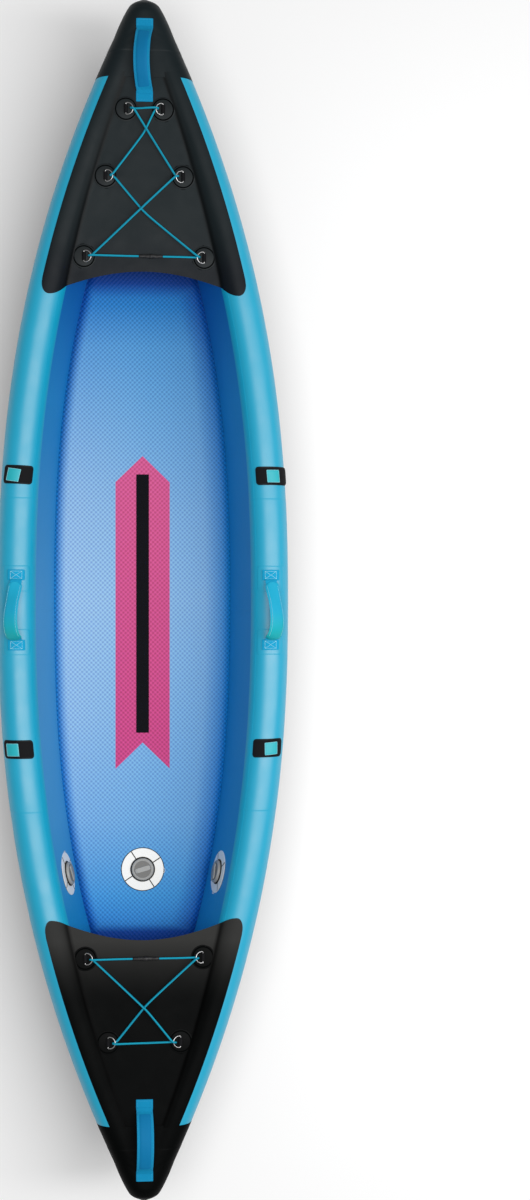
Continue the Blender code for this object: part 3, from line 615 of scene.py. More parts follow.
def webbing(name, colour, pitch=0.0030):
    """Woven tape: ribs across and a herringbone along."""
    paint = Paint(name, colour, 0.75, specular=0.12)
    ribs = paint.wave(paint.y, pitch)
    rows = paint.wave(paint.math("ADD", paint.x, paint.z), pitch * 1.3)
    weave = paint.math("MULTIPLY", ribs, rows)
    # Painted light and shade of the weave: the colour is lighter on its raised ribs and darker in its dips.
    paint.colour(paint.mix(paint.range(weave, -1, 1, 0, 1), shade(colour, 0.78), shade(colour, 1.16)))
    paint.bump((weave, 0.0003), (paint.noise(500, 2), 0.0002))
    return paint


def embossed(paint, pitch, depth):
    """Diamond emboss of drop-stitch fabric, with the faint dimples that its threads pull."""
    diamonds = paint.math("MULTIPLY", paint.wave(paint.x, pitch), paint.wave(paint.y, pitch))
    paint.bump((diamonds, depth), (paint.noise(600, 1), 0.0001), (paint.noise(6, 2), 0.0016))
    return diamonds


FLOOR_SHADE = (0.034, 0.078)     # the floor darkens over this run beside the port and the starboard chamber, partly as print and partly as painted shade; the longer starboard run is painted shadow of that chamber
PANEL_ENDS = (0.968, -1.014)     # the printed panel stops here, under the edges of the two decks
PANEL_FADE = 0.045               # and darkens over this run before its bow end, half of it at the stern, as painted shade under the decks
SIDE_LIGHT_RUN = (0.35, 0.95)          # the painted light on the port half and the painted shade on the starboard half fade out between these distances from amidships
ARROW_HALF, ARROW_SLOPE = 0.083, 0.97        # half width of the arrow, and slope of its point and its tail
ARROW_HEAD, ARROW_TAIL = 0.4425, -0.438
# Place from stern to bow and screen colour: the floor's middle, dark towards both ends partly as print and
# partly as painted shadow of the decks; its sides and ends, partly print and partly painted shade; and the
# panel underneath
BODY_BLUES = ((0.0, 26, 110, 192), (0.07, 60, 142, 205), (0.18, 104, 160, 210), (0.36, 122, 169, 213),
              (0.50, 133, 175, 216), (0.62, 124, 169, 212), (0.78, 98, 156, 205), (0.87, 78, 146, 201),
              (0.93, 34, 120, 188), (1.0, 10, 84, 168))
EDGE_BLUES = ((0.0, 4, 60, 150), (0.2, 0, 110, 190), (0.5, 0, 122, 194), (0.8, 0, 98, 172),
              (0.94, 6, 70, 156), (1.0, 4, 36, 104))
UNDER_BLUES = ((0.0, 20, 88, 158), (0.03, 26, 100, 170), (0.10, 46, 122, 186), (0.20, 92, 153, 204),
               (0.32, 129, 178, 217), (0.52, 149, 189, 223), (0.72, 139, 183, 220), (0.85, 118, 170, 214),
               (0.93, 100, 160, 207), (1.0, 76, 146, 199))


def floor_paint():
    """Printed floor: dark at both ends and along the sides, partly as print and partly as painted shade, pale
    amidships with painted light on its port half and painted shade on its starboard half, and with the arrow
    in the middle.
    """
    paint = Paint("floor_print", srgb(120, 170, 214), 0.55, specular=0.15)
    along = paint.range(paint.y, -1.05, 1.05, 0, 1)
    body = paint.ramp(along, *BODY_BLUES)
    edges = paint.ramp(along, *EDGE_BLUES)
    # Painted shade beside the side chambers, reaching further on the starboard side as painted shadow of that
    # chamber.
    starboard = paint.math("GREATER_THAN", paint.x, 0.0)
    reach = paint.math("MULTIPLY_ADD", starboard, FLOOR_SHADE[1] - FLOOR_SHADE[0], FLOOR_SHADE[0])
    near = paint.math("SUBTRACT", 1.0, paint.math("DIVIDE", paint.attribute("edge"), reach), use_clamp=True)
    # Painted light on the port half of the floor and painted shade on its starboard half, amidships.
    amidships = paint.range(paint.math("ABSOLUTE", paint.y), *SIDE_LIGHT_RUN, 1, 0)
    port_floor_light = paint.math("MULTIPLY", amidships, paint.range(paint.x, -0.20, 0.02, 0.13, 0))
    starboard_floor_shade = paint.math("MULTIPLY", amidships, paint.range(paint.x, 0.02, 0.20, 0, 0.14))
    body = paint.mix(starboard_floor_shade, paint.mix(port_floor_light, body, srgb(214, 224, 234)), srgb(10, 120, 190))
    # Painted shade under the deck edges at both ends of the panel.
    ends = paint.math("MINIMUM", paint.math("SUBTRACT", PANEL_ENDS[0], paint.y),
                      paint.math("MULTIPLY_ADD", paint.y, 2.0, -2.0 * PANEL_ENDS[1]))
    beyond = paint.math("SUBTRACT", 1.0, paint.math("DIVIDE", ends, PANEL_FADE), use_clamp=True)
    colour = paint.mix(paint.math("SMOOTH_MAX", near, beyond, 0.25), body, edges)
    aside = paint.math("ABSOLUTE", paint.x)
    chevron = paint.math("MULTIPLY_ADD", aside, ARROW_SLOPE, paint.y)
    lengthwise = paint.math("MULTIPLY", paint.math("LESS_THAN", chevron, ARROW_HEAD),
                            paint.math("GREATER_THAN", chevron, ARROW_TAIL))
    arrow = paint.math("MULTIPLY", paint.math("LESS_THAN", aside, ARROW_HALF), lengthwise)
    forward = paint.range(paint.y, ARROW_TAIL, ARROW_HEAD, 0, 1)
    colour = paint.mix(arrow, colour, paint.mix(forward, srgb(192, 66, 124), srgb(203, 84, 134)))
    # Painted light and shade of the emboss: lighter on its raised diamonds and darker in its dips, fainter in
    # the painted shade at the ends.
    raised = paint.range(embossed(paint, 0.0140, 0.0008), -0.9, 0.5, 0, 1)
    relief = paint.math("MULTIPLY_ADD", beyond, -0.18, 0.24)
    paint.colour(paint.mix(relief, colour, paint.mix(raised, BLACK, WHITE), "OVERLAY"))
    return paint


PANEL_HALF = 0.259          # half width of the pale panel under the board
PANEL_SHAPE = {"bow": (1.893, 1.70), "stern": (1.817, 2.31)}     # reach and fullness of its plan
UNDER_ENDS = (1.300, -1.416)


def bottom_paint():
    """Underside: a pale blue panel on the flat of the board, and black textured fabric round it."""
    paint = Paint("bottom_print", srgb(120, 170, 214), 0.52, specular=0.4)
    along = paint.range(paint.y, -1.42, 1.30, 0, 1)
    panel = paint.ramp(along, *UNDER_BLUES)
    widths = {}
    for end, (reach, power) in PANEL_SHAPE.items():
        share = paint.math("DIVIDE", paint.math("ABSOLUTE", paint.y), reach)
        widths[end] = paint.math("MULTIPLY_ADD", paint.math("POWER", share, power), -PANEL_HALF, PANEL_HALF)
    forward = paint.math("GREATER_THAN", paint.y, 0.0)
    width = paint.node("ShaderNodeMix", forward, data_type="FLOAT")
    paint.feed(width.inputs[2], widths["stern"])
    paint.feed(width.inputs[3], widths["bow"])
    room = paint.math("SUBTRACT", width.outputs[0], paint.math("ABSOLUTE", paint.x))
    ends = paint.math("MINIMUM", paint.math("SUBTRACT", UNDER_ENDS[0], paint.y),
                      paint.math("ADD", paint.y, -UNDER_ENDS[1]))
    room = paint.math("SMOOTH_MIN", room, ends, 0.012)
    inside = paint.math("GREATER_THAN", room, 0.0)
    border = paint.range(room, 0.0, 0.006, 0.75, 0)
    panel = paint.mix(border, panel, srgb(24, 86, 156))
    paint.colour(paint.mix(inside, srgb(36, 39, 41), panel))
    embossed(paint, 0.0090, 0.0004)
    return paint


def cord_paint():
    """Braid of a cord; "along" runs with the cord and "turn" is the cosine of twice the angle round it."""
    paint = Paint("cord_braid", srgb(24, 166, 192), 0.6, specular=0.2)
    along = paint.math("MULTIPLY", paint.attribute("along"), 4 * pi / BRAID_PITCH)
    plait = paint.math("SUBTRACT", paint.attribute("turn"), paint.math("COSINE", along))
    # Painted light and shade of the braid: lighter on its raised strands and darker in its grooves.
    paint.colour(paint.mix(paint.range(plait, -2, 2, 0, 1), srgb(6, 120, 150), srgb(20, 172, 200)))
    paint.bump((plait, 0.00018))
    return paint


def hook_paint():
    """Hook side of a hook-and-loop strip."""
    paint = Paint("hook_pile", srgb(16, 14, 19), 0.9, specular=0.2)
    hooks = paint.math("MULTIPLY", paint.wave(paint.x, HOOK_PITCH), paint.wave(paint.y, HOOK_PITCH))
    fuzz = paint.noise(900, 3)
    paint.colour(paint.mix(fuzz, srgb(4, 3, 6), srgb(24, 22, 28)))
    paint.bump((hooks, 0.0005), (fuzz, 0.0008))
    return paint


def steel_paint():
    paint = Paint("ring_steel_polish", (0.46, 0.46, 0.46, 1), 0.36, 1.0)
    paint.roughness(paint.noise(260, 3), 0.30, 0.44)
    paint.bump((paint.noise(900, 2), 0.00003))
    return paint


def wall_paint():
    """Inner walls: blue coated fabric, with painted shade towards the bow under its deck and painted light
    amidships on the port side.
    """
    paint = Paint("wall_blue", srgb(24, 140, 204), 0.5, specular=0.25)
    middle = paint.math("MULTIPLY", paint.range(paint.y, 0.5, 0.0, 0, 1),
                        paint.range(paint.y, -0.66, -0.94, 1, 0))
    # Painted shade towards the bow, near and under its deck.
    blue = paint.mix(paint.range(paint.y, 0.60, 0.95, 0, 1), srgb(22, 138, 202), srgb(14, 104, 184))
    # Painted light amidships on the port wall.
    port_wall_light = paint.math("MULTIPLY", paint.math("LESS_THAN", paint.x, 0.0), middle)
    blue = paint.mix(port_wall_light, blue, srgb(66, 156, 212))
    dim = paint.mix(1.0, blue, (0.93, 0.93, 0.93, 1), "MULTIPLY")
    paint.colour(paint.mix(paint.noise(*CLOUD), dim, blue))
    paint.bump((paint.noise(*PEBBLE), 0.00012), (paint.noise(*RIPPLE), 0.0016))
    return paint


def grip_paint():
    """Rail grip: cyan neoprene that turns teal towards its after end."""
    paint = Paint("grip_pad_cyan", srgb(20, 160, 200), 0.6, specular=0.3)
    teal = paint.range(paint.y, -0.03, -0.10, 0, 1)
    paint.colour(paint.mix(teal, srgb(16, 164, 200), srgb(12, 168, 176)))
    paint.bump((paint.noise(500, 2), 0.0003))
    return paint


def fin_patch_paint():
    """Black patch in the same embossed fabric as the board."""
    paint = Paint("fin_patch_black", srgb(24, 26, 28), 0.45)
    diamonds = embossed(paint, 0.0082, 0.0004)
    # Painted light and shade of the emboss: lighter on the raised diamonds, darker in their dips.
    paint.colour(paint.mix(paint.range(diamonds, -1, 1, 0, 1), srgb(18, 20, 22), srgb(30, 33, 35)))
    return paint


def stage_paint():
    paint = Paint("stage_white", (0.9, 0.9, 0.9, 1), 0.9)
    paint.colour(paint.mix(paint.noise(0.8, 1), (0.95, 0.95, 0.95, 1), (0.97, 0.97, 0.97, 1)))
    return paint


def moulded(name, colour, roughness):
    """Moulded plastic with a spark-eroded surface."""
    paint = Paint(name, colour, roughness)
    speck = paint.noise(420, 3)
    paint.colour(paint.mix(speck, shade(colour, 0.93), shade(colour, 1.05)))
    paint.roughness(speck, roughness - 0.05, roughness + 0.08)
    paint.bump((speck, 0.00008))
    return paint


PAINTS = {
    "cyan": coated("rail_cyan", srgb(0, 162, 198), 0.42, 0.03, specular=0.8, tint=(1.0, 0.76, 0.56, 1.0)),
    "wall": wall_paint(),
    # The second colour of each deck is painted at its open edge: painted shade on the bow deck, a painted
    # highlight on the stern deck
    "black": deck_paint("deck_black", srgb(19, 28, 31), srgb(12, 18, 24), 0.15),
    "stern_black": deck_paint("stern_deck_black", srgb(6, 7, 7), srgb(50, 50, 49), 0.03),
    "outer": coated("side_black", srgb(30, 33, 34), 0.42, 0.08, specular=0.3),
    "patch": coated("patch_black", srgb(22, 28, 30), 0.48, 0.06, specular=0.15),
    "stern_patch": coated("stern_patch_black", srgb(8, 9, 9), 0.48, 0.06, specular=0.04),
    "floor": floor_paint(),
    "bottom": bottom_paint(),
    "cord": cord_paint(),
    "sleeve": coated("sleeve_rubber", srgb(20, 20, 22), 0.55, 0.1, 0.0003),
    "steel": steel_paint(),
    "white": moulded("valve_white_plastic", srgb(236, 235, 231), 0.42),
    "grey": moulded("valve_grey_plastic", srgb(150, 150, 147), 0.45),
    # Dark colour of the valve ring's splits, which are joints, and of its painted shadow outlines
    "line": moulded("seam_line_and_shadow", srgb(20, 17, 8), 0.8),
    # Darker grey for painted shade in the valve cap's grooves
    "shade_grey": moulded("valve_grey_recess", srgb(112, 111, 108), 0.6),
    "web_blue": webbing("webbing_blue_weave", srgb(14, 138, 184)),
    "web_cyan": webbing("webbing_cyan_weave", srgb(24, 160, 204)),
    "pad_blue": coated("grip_pad_blue", srgb(4, 114, 164), 0.66, 0.06, 0.0003, specular=0.15),
    "pad_cyan": grip_paint(),
    "thread": moulded("stitch_thread", srgb(166, 222, 232), 0.7),
    "thread_blue": moulded("stitch_thread_blue", srgb(60, 160, 205), 0.7),
    "strap": webbing("strap_black_weave", srgb(22, 22, 24)),
    "teal": coated("paddle_tab_teal", srgb(26, 172, 184), 0.5, 0.05, 0.0003),
    "hook": hook_paint(),
    "moulded": moulded("fin_box_plastic", srgb(30, 31, 31), 0.38),
    # Near-black painted shade for the groove round each lacing patch and painted shadow outline under its
    # base
    "groove": coated("patch_groove", srgb(3, 4, 4), 0.8, 0.1, specular=0.02),
    "fin_patch": fin_patch_paint(),
    "hole": moulded("drain_hole_blue", srgb(88, 150, 212), 0.5),
    "stage": stage_paint(),
}
MATERIAL = {key: paint.material for key, paint in PAINTS.items()}


# ---- floor board -------------------------------------------------------------
BOARD_COLUMNS, BOTTOM_COLUMNS, EDGE_STEPS = 61, 31, 9
END_ROUND, END_RISE = 0.05, 0.024


def crack_dip(x, y):
    """How far the floor dips at x towards the groove along the side chambers."""
    inner = floor_half(y)
    from_crack = max(0.0, inner - abs(x))
    depth = CRACK_DEPTH * min(1.0, inner / 0.08)
    return depth * max(0.0, 1 - from_crack / CRACK_WIDTH) ** 2


def board_ring(y):
    radius = BOARD_THICK / 2
    flat = max(board_half(y) - radius, 0.004)
    base = rocker(y)
    floor_edge = min(floor_half(y) + FOOT_ROUND, flat)
    ring = []
    for share in np.linspace(-1, 1, BOARD_COLUMNS):
        x = floor_edge * sin(share * pi / 2)
        ring.append([x, y, base + BOARD_THICK - crack_dip(x, y)])
    for k in range(EDGE_STEPS + 1):
        angle = pi / 2 - pi * k / EDGE_STEPS
        ring.append([flat + radius * cos(angle), y, base + radius + radius * sin(angle)])
    for share in np.linspace(1, -1, BOTTOM_COLUMNS)[1:-1]:
        ring.append([flat * share, y, base])
    for k in range(EDGE_STEPS + 1):
        angle = -pi / 2 - pi * k / EDGE_STEPS
        ring.append([-flat + radius * cos(angle), y, base + radius + radius * sin(angle)])
    over = clamp((abs(y) - HULL_END + END_ROUND) / END_ROUND)
    rise = END_RISE * (1 - sqrt(1 - over * over))
    for point in ring:
        below = (base + BOARD_THICK - point[2]) / BOARD_THICK
        point[2] += rise * max(0.0, below)
    return ring


def floor_board():
    """Drop-stitch board: the printed floor above, the blue panel below."""
    rings = [board_ring(y) for y in stations(-HULL_END, HULL_END)]
    mesh = mesh_from(*loft_part(rings), "floor_board")
    make_object("floor_board", mesh, [MATERIAL["floor"], MATERIAL["bottom"]], "hull", "floor_pvc",
                ["floor_chamber"])
    set_values(mesh, "edge", [max(0.0, floor_half(v.co.y) - abs(v.co.x)) for v in mesh.vertices])
    for face in mesh.polygons:
        top = face.normal.z > 0.3 and face.center.z > rocker(face.center.y) + BOARD_THICK * 0.8
        face.material_index = 0 if top else 1


# ---- side chambers -----------------------------------------------------------
SKIN_THICK = 0.0008
WALL_SEAMS, RAIL_SEAMS, OUTER_SEAMS = (-0.032,), (0.298, -0.62), (0.49, -0.55, 1.20)
SEAM_STEP = 0.0005
SEAM_ROWS = (-0.003, -0.0006, 0.0006, 0.003)     # stations beside a lapped seam
RAIL_LIFT, TAPE_LIFT = 0.0002, 0.0010
WALL_SWELL = 0.0016         # the inner walls bulge by this much between the rail and the floor
TAPE_ARC = (radians(168), radians(138))
TAPE_END = 1.25             # the inner tape ends under the decks
RAIL_ARC = (radians(150), radians(-3))
OUTER_ARC = (radians(4), radians(-15))


def seamed_stations(seams, end=HULL_END):
    """Stations along the side chambers, with close ones at each lapped seam."""
    rows = set(stations(-end, end))
    for place in seams:
        rows = {y for y in rows if abs(y - place) > 0.006} | {place + off for off in SEAM_ROWS}
    return sorted(rows)


def lap(y, seams):
    """Step of the skin's laps: up at one seam and down at the next."""
    return SEAM_STEP * (sum(1 for seam in seams if y < seam) % 2)


def wall_point(y, share, lift):
    """A point of the starboard inner wall, from the groove at the floor, 0, to the rail, 1."""
    x, z = rail_centre(y)
    foot = Vector((floor_half(y), y, rocker(y) + BOARD_THICK - CRACK_DEPTH * min(1.0, floor_half(y) / 0.08)))
    top = Vector((x - RAIL_RADIUS * cos(LEAN), y, z + RAIL_RADIUS * sin(LEAN)))
    run = top - foot
    inward = Vector((-run.z, 0, run.x)).normalized()
    point = foot + run * share + inward * (lift + WALL_SWELL * sin(pi * share))
    height = share * run.length
    if height < FOOT_ROUND:
        point.x += FOOT_ROUND - sqrt(FOOT_ROUND ** 2 - (FOOT_ROUND - height) ** 2)
    point.x = max(point.x, GAP)
    return point


def side_skins():
    """Skins of both side chambers: blue inner wall, cyan rail with its inner tape, black outer side."""
    shares = np.concatenate([np.linspace(0, 0.06, 7)[:-1], np.linspace(0.06, 1.0, 15)])
    for label, side in (("left", -1), ("right", 1)):
        mirror = np.array((side, 1, 1))
        node = label + "_side_chamber"
        grid = np.array([[wall_point(y, s, lap(y, WALL_SEAMS)) for s in shares]
                         for y in seamed_stations(WALL_SEAMS)]) * mirror
        wall = mesh_from(*sheet_part(grid, SKIN_THICK, (0, 0, 0.3)), label + "_wall")
        make_object(label + "_inner_wall", wall, MATERIAL["wall"], "hull", "side_pvc", [node])
        for piece, arc, lift, count, end in (("rail", RAIL_ARC, RAIL_LIFT, 34, HULL_END),
                                             ("rail_tape", TAPE_ARC, TAPE_LIFT, 8, TAPE_END)):
            lift += SKIN_THICK / 2
            angles = np.linspace(*arc, count)
            grid = np.array([[rail_point(y, a, lift + lap(y, RAIL_SEAMS), side) for a in angles]
                             for y in seamed_stations(RAIL_SEAMS, end)])
            mesh = mesh_from(*sheet_part(grid, SKIN_THICK, (side * 0.35, 0, 2.0)), f"{label}_{piece}")
            make_object(f"{label}_{piece}", mesh, MATERIAL["cyan"], "hull", "side_pvc")
        rows = [outer_run(y, side) for y in seamed_stations(OUTER_SEAMS)]
        mesh = mesh_from(*sheet_part(np.array(rows), SKIN_THICK, (side * 3.0, 0, 0.2)), label + "_outer")
        make_object(label + "_outer_side", mesh, MATERIAL["outer"], "hull", "side_pvc")


def outer_run(y, side):
    """Run of the black outer side at one station, from under the rail's edge to under the board's edge."""
    radius = BOARD_THICK / 2
    flat = max(board_half(y) - radius, 0.004)
    lift = lap(y, OUTER_SEAMS)
    run = [rail_point(y, a, lift, side) for a in np.linspace(*OUTER_ARC, 8)]
    reach = radius + 0.0014 + lift
    for angle in (radians(14), 0.0, radians(-12), radians(-24)):
        run.append(Vector((side * (flat + reach * cos(angle)), y, rocker(y) + radius + reach * sin(angle))))
    return eased(resample(run, 36), 3)


# ---- decks and end caps ------------------------------------------------------
CAP_LIFT = 0.0014
CAP_SEAM = 0.156            # lapped seam round each cap, from the tip
CAP_HALF_COLUMNS = 90
CAP_CUFF = {"bow": 0.231, "stern": 0.2225}      # each wrapped end reaches this far from the tip
FABRIC_THICK = 0.0012
RAIL_DECK_LIFT = 0.0026     # a deck's outer face over the rails
PUCKER_REACH = 0.052
# Width and strength of the painted shade along each deck's valley crease
CREASE_SHADE_WIDTH, CREASE_SHADE_DEPTH = 0.0045, 0.75
PAINTED_EDGE_LIGHT_RUN = 0.19            # the painted light at the deck's open edge fades over this run: a painted highlight on the stern deck, painted shade on the bow deck
DECK_PAINT = {"bow": "black", "stern": "stern_black"}


def skin_rise(y, rounding):
    """Height of a cap's top above the centre of the rail's rounding, from the deck's up to the crown's."""
    from_tip = HALF_LENGTH - abs(y)
    flat = deck_rise(y) + DECK_GAP + DECK_THICK
    crowned = smooth_step(clamp((CROWN_START - from_tip) / CROWN_RUN))
    return min(flat + (RAIL_RADIUS - flat) * crowned, rounding)


def cap_half(y, lift):
    """Half section of an end cap, from the keel up to the middle of the top, with its corners eased."""
    from_tip = HALF_LENGTH - abs(y)
    beam = half_beam(y)
    rounding = min(RAIL_RADIUS, beam)
    x = beam - rounding
    z = rail_top(y) - RAIL_RADIUS
    foot = min(board_half(y), beam * 0.9)
    base = rocker(y)
    rise = skin_rise(y, rounding)
    last = pi - asin(min(1.0, rise / rounding))
    if x < rounding:
        last = min(last, acos(-x / rounding))
    keel = 0.006 + 0.012 * min(1.0, from_tip / CAP_LENGTH)
    low = resample([(0.0, y, base + keel - lift), (foot * 0.55, y, base + keel + 0.010 - lift),
                    (foot + lift, y, base + 0.045)], 14)
    reach = rounding + lift
    side = [(max(x + reach * cos(a), 0.002), y, z + reach * sin(a)) for a in np.linspace(-LEAN, last, 40)]
    top = (0.0, y, z + lift + max(rise, rounding * sin(last)))
    run = resample([*low, *side, top], CAP_HALF_COLUMNS)
    return eased(run, 2)


def cap_crease(x, y):
    """Two shallow folds beside the handle, where the wrapped skin is gathered."""
    run = HALF_LENGTH - abs(y)
    fold = 0.0
    for start, slope, depth in ((0.102, 0.80, 0.0012), (0.122, 0.55, 0.0008)):
        off = run - (start + slope * (abs(x) - 0.034))
        reach = max(0.0, 1 - abs(abs(x) - 0.044) / 0.026)
        fold += depth * reach * bell(off / 0.004)
    return fold


def end_cap(label, side):
    """Wrapped end of the hull with its lapped seam."""
    runs = sorted({*np.linspace(0, 0.02, 9), *np.linspace(0.02, CAP_CUFF[label], 36)}
                  | {CAP_SEAM - 0.0006, CAP_SEAM + 0.0006})
    rings = []
    for run in runs:
        y = side * (HALF_LENGTH - run)
        lift = CAP_LIFT + (SEAM_STEP if run < CAP_SEAM else 0.0)
        half = cap_half(y, lift * min(1.0, run / 0.02))
        upper = slice(CAP_HALF_COLUMNS // 2 + 1, None)
        half[upper, 2] -= [cap_crease(x, y) for x in half[upper, 0]]
        mirrored = half[-2:0:-1] * np.array((-1, 1, 1))
        rings.append([*half, *mirrored])
    name = label + "_cap_skin"
    mesh = mesh_from(*loft_part(rings), name)
    make_object(name, mesh, MATERIAL[DECK_PAINT[label]], "hull", "black_pvc", [label + "_nose_cap"])


def deck_edge(share, edge):
    """Distance of a deck's open edge from the tip; share runs from the centreline, 0, to the side, 1."""
    middle, valley, corner, outer = edge
    if share < VALLEY_SHARE:
        return middle + (valley - middle) * (share / VALLEY_SHARE) ** 2
    if share < CORNER_SHARE:
        run = (share - VALLEY_SHARE) / (CORNER_SHARE - VALLEY_SHARE)
        return valley + (corner - valley) * sin(pi / 2 * run)
    run = (share - CORNER_SHARE) / (1 - CORNER_SHARE)
    return corner - (corner - outer) * (1 - sqrt(max(0.0, 1 - run * run)))


def deck_point(share, y):
    """A point of a deck's outer face: flat out to the valley, then up over the rail to the outer edge."""
    x, z = rail_centre(y)
    size = abs(share)
    side = 1 if share >= 0 else -1
    full = DECK_GAP + DECK_THICK
    over = clamp((size - VALLEY_SHARE) / 0.12)
    lift = full + (RAIL_DECK_LIFT - full) * smooth_step(over)
    reach = RAIL_RADIUS + full
    valley = pi - asin((deck_rise(y) + full) / reach)
    flat = x + reach * cos(valley)
    if size < VALLEY_SHARE:
        return Vector((side * flat * size / VALLEY_SHARE, y, z + deck_rise(y) + full))
    outer = acos((RAIL_RADIUS - DECK_EDGE_INSET) / RAIL_RADIUS)
    angle = valley + (outer - valley) * (size - VALLEY_SHARE) / (1 - VALLEY_SHARE)
    reach = RAIL_RADIUS + lift
    return Vector((side * (x + reach * cos(angle)), y, z + reach * sin(angle)))


def fabric_waves(x, y, patches):
    """Slack of the deck's fabric: long soft waves, and small puckers round each patch."""
    long_wave = noise.noise(Vector((x * 9, y * 7, 0.3)))
    height = 0.0011 * long_wave + 0.0004 * noise.noise(Vector((x * 30, y * 24, 2.0)))
    for place in patches:
        off = Vector((x - place.x, y - place.y))
        away = off.length
        if away < 2 * PUCKER_REACH:
            ring = max(0.0, 1 - abs(away - PUCKER_REACH * 0.82) / (PUCKER_REACH * 0.30))
            turn = Vector((1, 0)).angle_signed(off, 0.0)
            height += 0.0007 * ring * cos(7 * turn + place.y * 40)
            height *= clamp((away - PATCH_RADIUS) / 0.012)
    return height


def deck(label, side):
    """Spray deck: one sheet glued over both rails, slack in the valleys."""
    patches = [node_middle(n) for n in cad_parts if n.startswith(label + "_patch_")]
    edge = DECK_EDGES[label]
    border = np.linspace(0.955, 1, 7)[1:]
    shares = np.concatenate([-border[::-1], np.linspace(-0.955, 0.955, 111), border])
    front = CAP_LENGTH - 0.002
    rows = np.linspace(0, 1, 44) ** 0.9
    grid = np.array([[deck_point(s, side * (HALF_LENGTH - front - (deck_edge(abs(s), edge) - front) * r))
                      for s in shares] for r in rows])
    smooth = grid[:, :, 2].copy()
    for _ in range(3):
        smooth[:, 1:-1] = smooth[:, 1:-1] * 0.5 + (smooth[:, :-2] + smooth[:, 2:]) * 0.25
    near = bell((np.abs(shares) - VALLEY_SHARE) / 0.07)
    grid[:, :, 2] += (smooth - grid[:, :, 2]) * near[None, :]
    for row in grid:
        for point, share in zip(row, shares):
            slack = clamp(1 - (abs(share) - 0.72) / 0.1)
            point[2] += slack * fabric_waves(point[0], point[1], patches)
    name = label + "_deck_skin"
    mesh = mesh_from(*sheet_part(grid, FABRIC_THICK, (0, side * 1.2, 3.0), 0.45), name, 60)
    # Painted shade along each valley crease, and painted light near the deck's open edge
    crease_shade, painted_edge_light = [], []
    for point in mesh.vertices:
        x, y, _ = point.co
        off = (abs(x) - abs(deck_point(VALLEY_SHARE, y).x)) / CREASE_SHADE_WIDTH
        crease_shade.append(CREASE_SHADE_DEPTH * bell(off if off < 0 else off / sqrt(6)))
        painted_edge_light.append(clamp(1 + (HALF_LENGTH - edge[0] - abs(y)) / PAINTED_EDGE_LIGHT_RUN) ** 2)
    set_values(mesh, "crease_shade", crease_shade)
    set_values(mesh, "painted_edge_light", painted_edge_light)
    make_object(name, mesh, MATERIAL[DECK_PAINT[label]], "hull", "black_pvc", [label + "_deck"])


def hull():
    floor_board()
    side_skins()
    for label, side in (("bow", 1), ("stern", -1)):
        end_cap(label, side)
        deck(label, side)


# ---- lacing ------------------------------------------------------------------
RINGS = {"bow": ((0.054, 1.428), (0.113, 1.237), (0.176, 1.006)),
         "stern": ((0.172, -1.048), (0.1055, -1.289))}
# Each cord's turns round its rings, as number and side, and where it crosses the middle after each turn
LACING = {
    "bow": (((3, -1), (-0.010, 1.142, 0.0175)), ((2, 1), (0.003, 1.372, 0.0175)), ((1, -1), None),
            ((1, 1), (-0.003, 1.358, 0.0095)), ((2, -1), (0.004, 1.130, 0.0095)), ((3, 1), None)),
    "stern": (((1, -1), (0.006, -1.196, 0.0175)), ((2, 1), None), ((2, -1), (0.006, -1.182, 0.0095)),
              ((1, 1), None))}
# Where each cord leaves its sleeve and comes back to it, as x and height above the deck; the sleeve's ends
LEADS = {"bow": ((-0.0165, 0.012), (-0.060, 0.0135), (0.110, 0.0105), (0.0545, 0.012)),
         "stern": ((-0.0345, 0.012), (-0.080, 0.0135), (0.110, 0.0105), (0.0435, 0.012))}
SLEEVES = {"bow": (-0.016, 0.054), "stern": (-0.034, 0.043)}
SIDES = {-1: "left", 1: "right"}
LOOP_PATH = ((-0.0052, 0.0008), (-0.0050, 0.0035), (-0.0038, 0.0072), (0.0, 0.0093), (0.0038, 0.0072),
             (0.0050, 0.0035), (0.0052, 0.0008))
LOOP_WIDTH = 0.0245
BASE_DISC = 0.0355
SLEEVE_HEIGHT = 0.012       # above the deck
CORD_SIDES = 12
LEAD_RUN, LEG_SHIFT = 0.011, 0.0024      # a cord's straight run from a ring, and how far its legs part there


def ring_sets():
    """Name, place and side of each D-ring, bow to stern."""
    for end, places in RINGS.items():
        for number, (x, y) in enumerate(places, start=1):
            for side, label in SIDES.items():
                yield f"{end}_ring_{number}_{label}", side * x, y, side


def ring_outline():
    """Closed run of a D-ring's wire from the middle of its straight bar; its bow reaches along +X."""
    half = RING_WIDTH / 2
    bow = [(0.005 + (RING_DEPTH - 0.005) * sin(a), (half + 0.0015) * cos(a), 0)
           for a in np.linspace(0, pi, 25)]
    corner = [(0.0, half - 0.001, 0), (0.0006, half + 0.0002, 0), (0.0026, half + 0.0012, 0)]
    mirrored = [(x, -y, 0) for x, y, _ in reversed(corner)]
    return [(0, 0, 0), *corner, *bow, *mirrored, (0, 0, 0)]


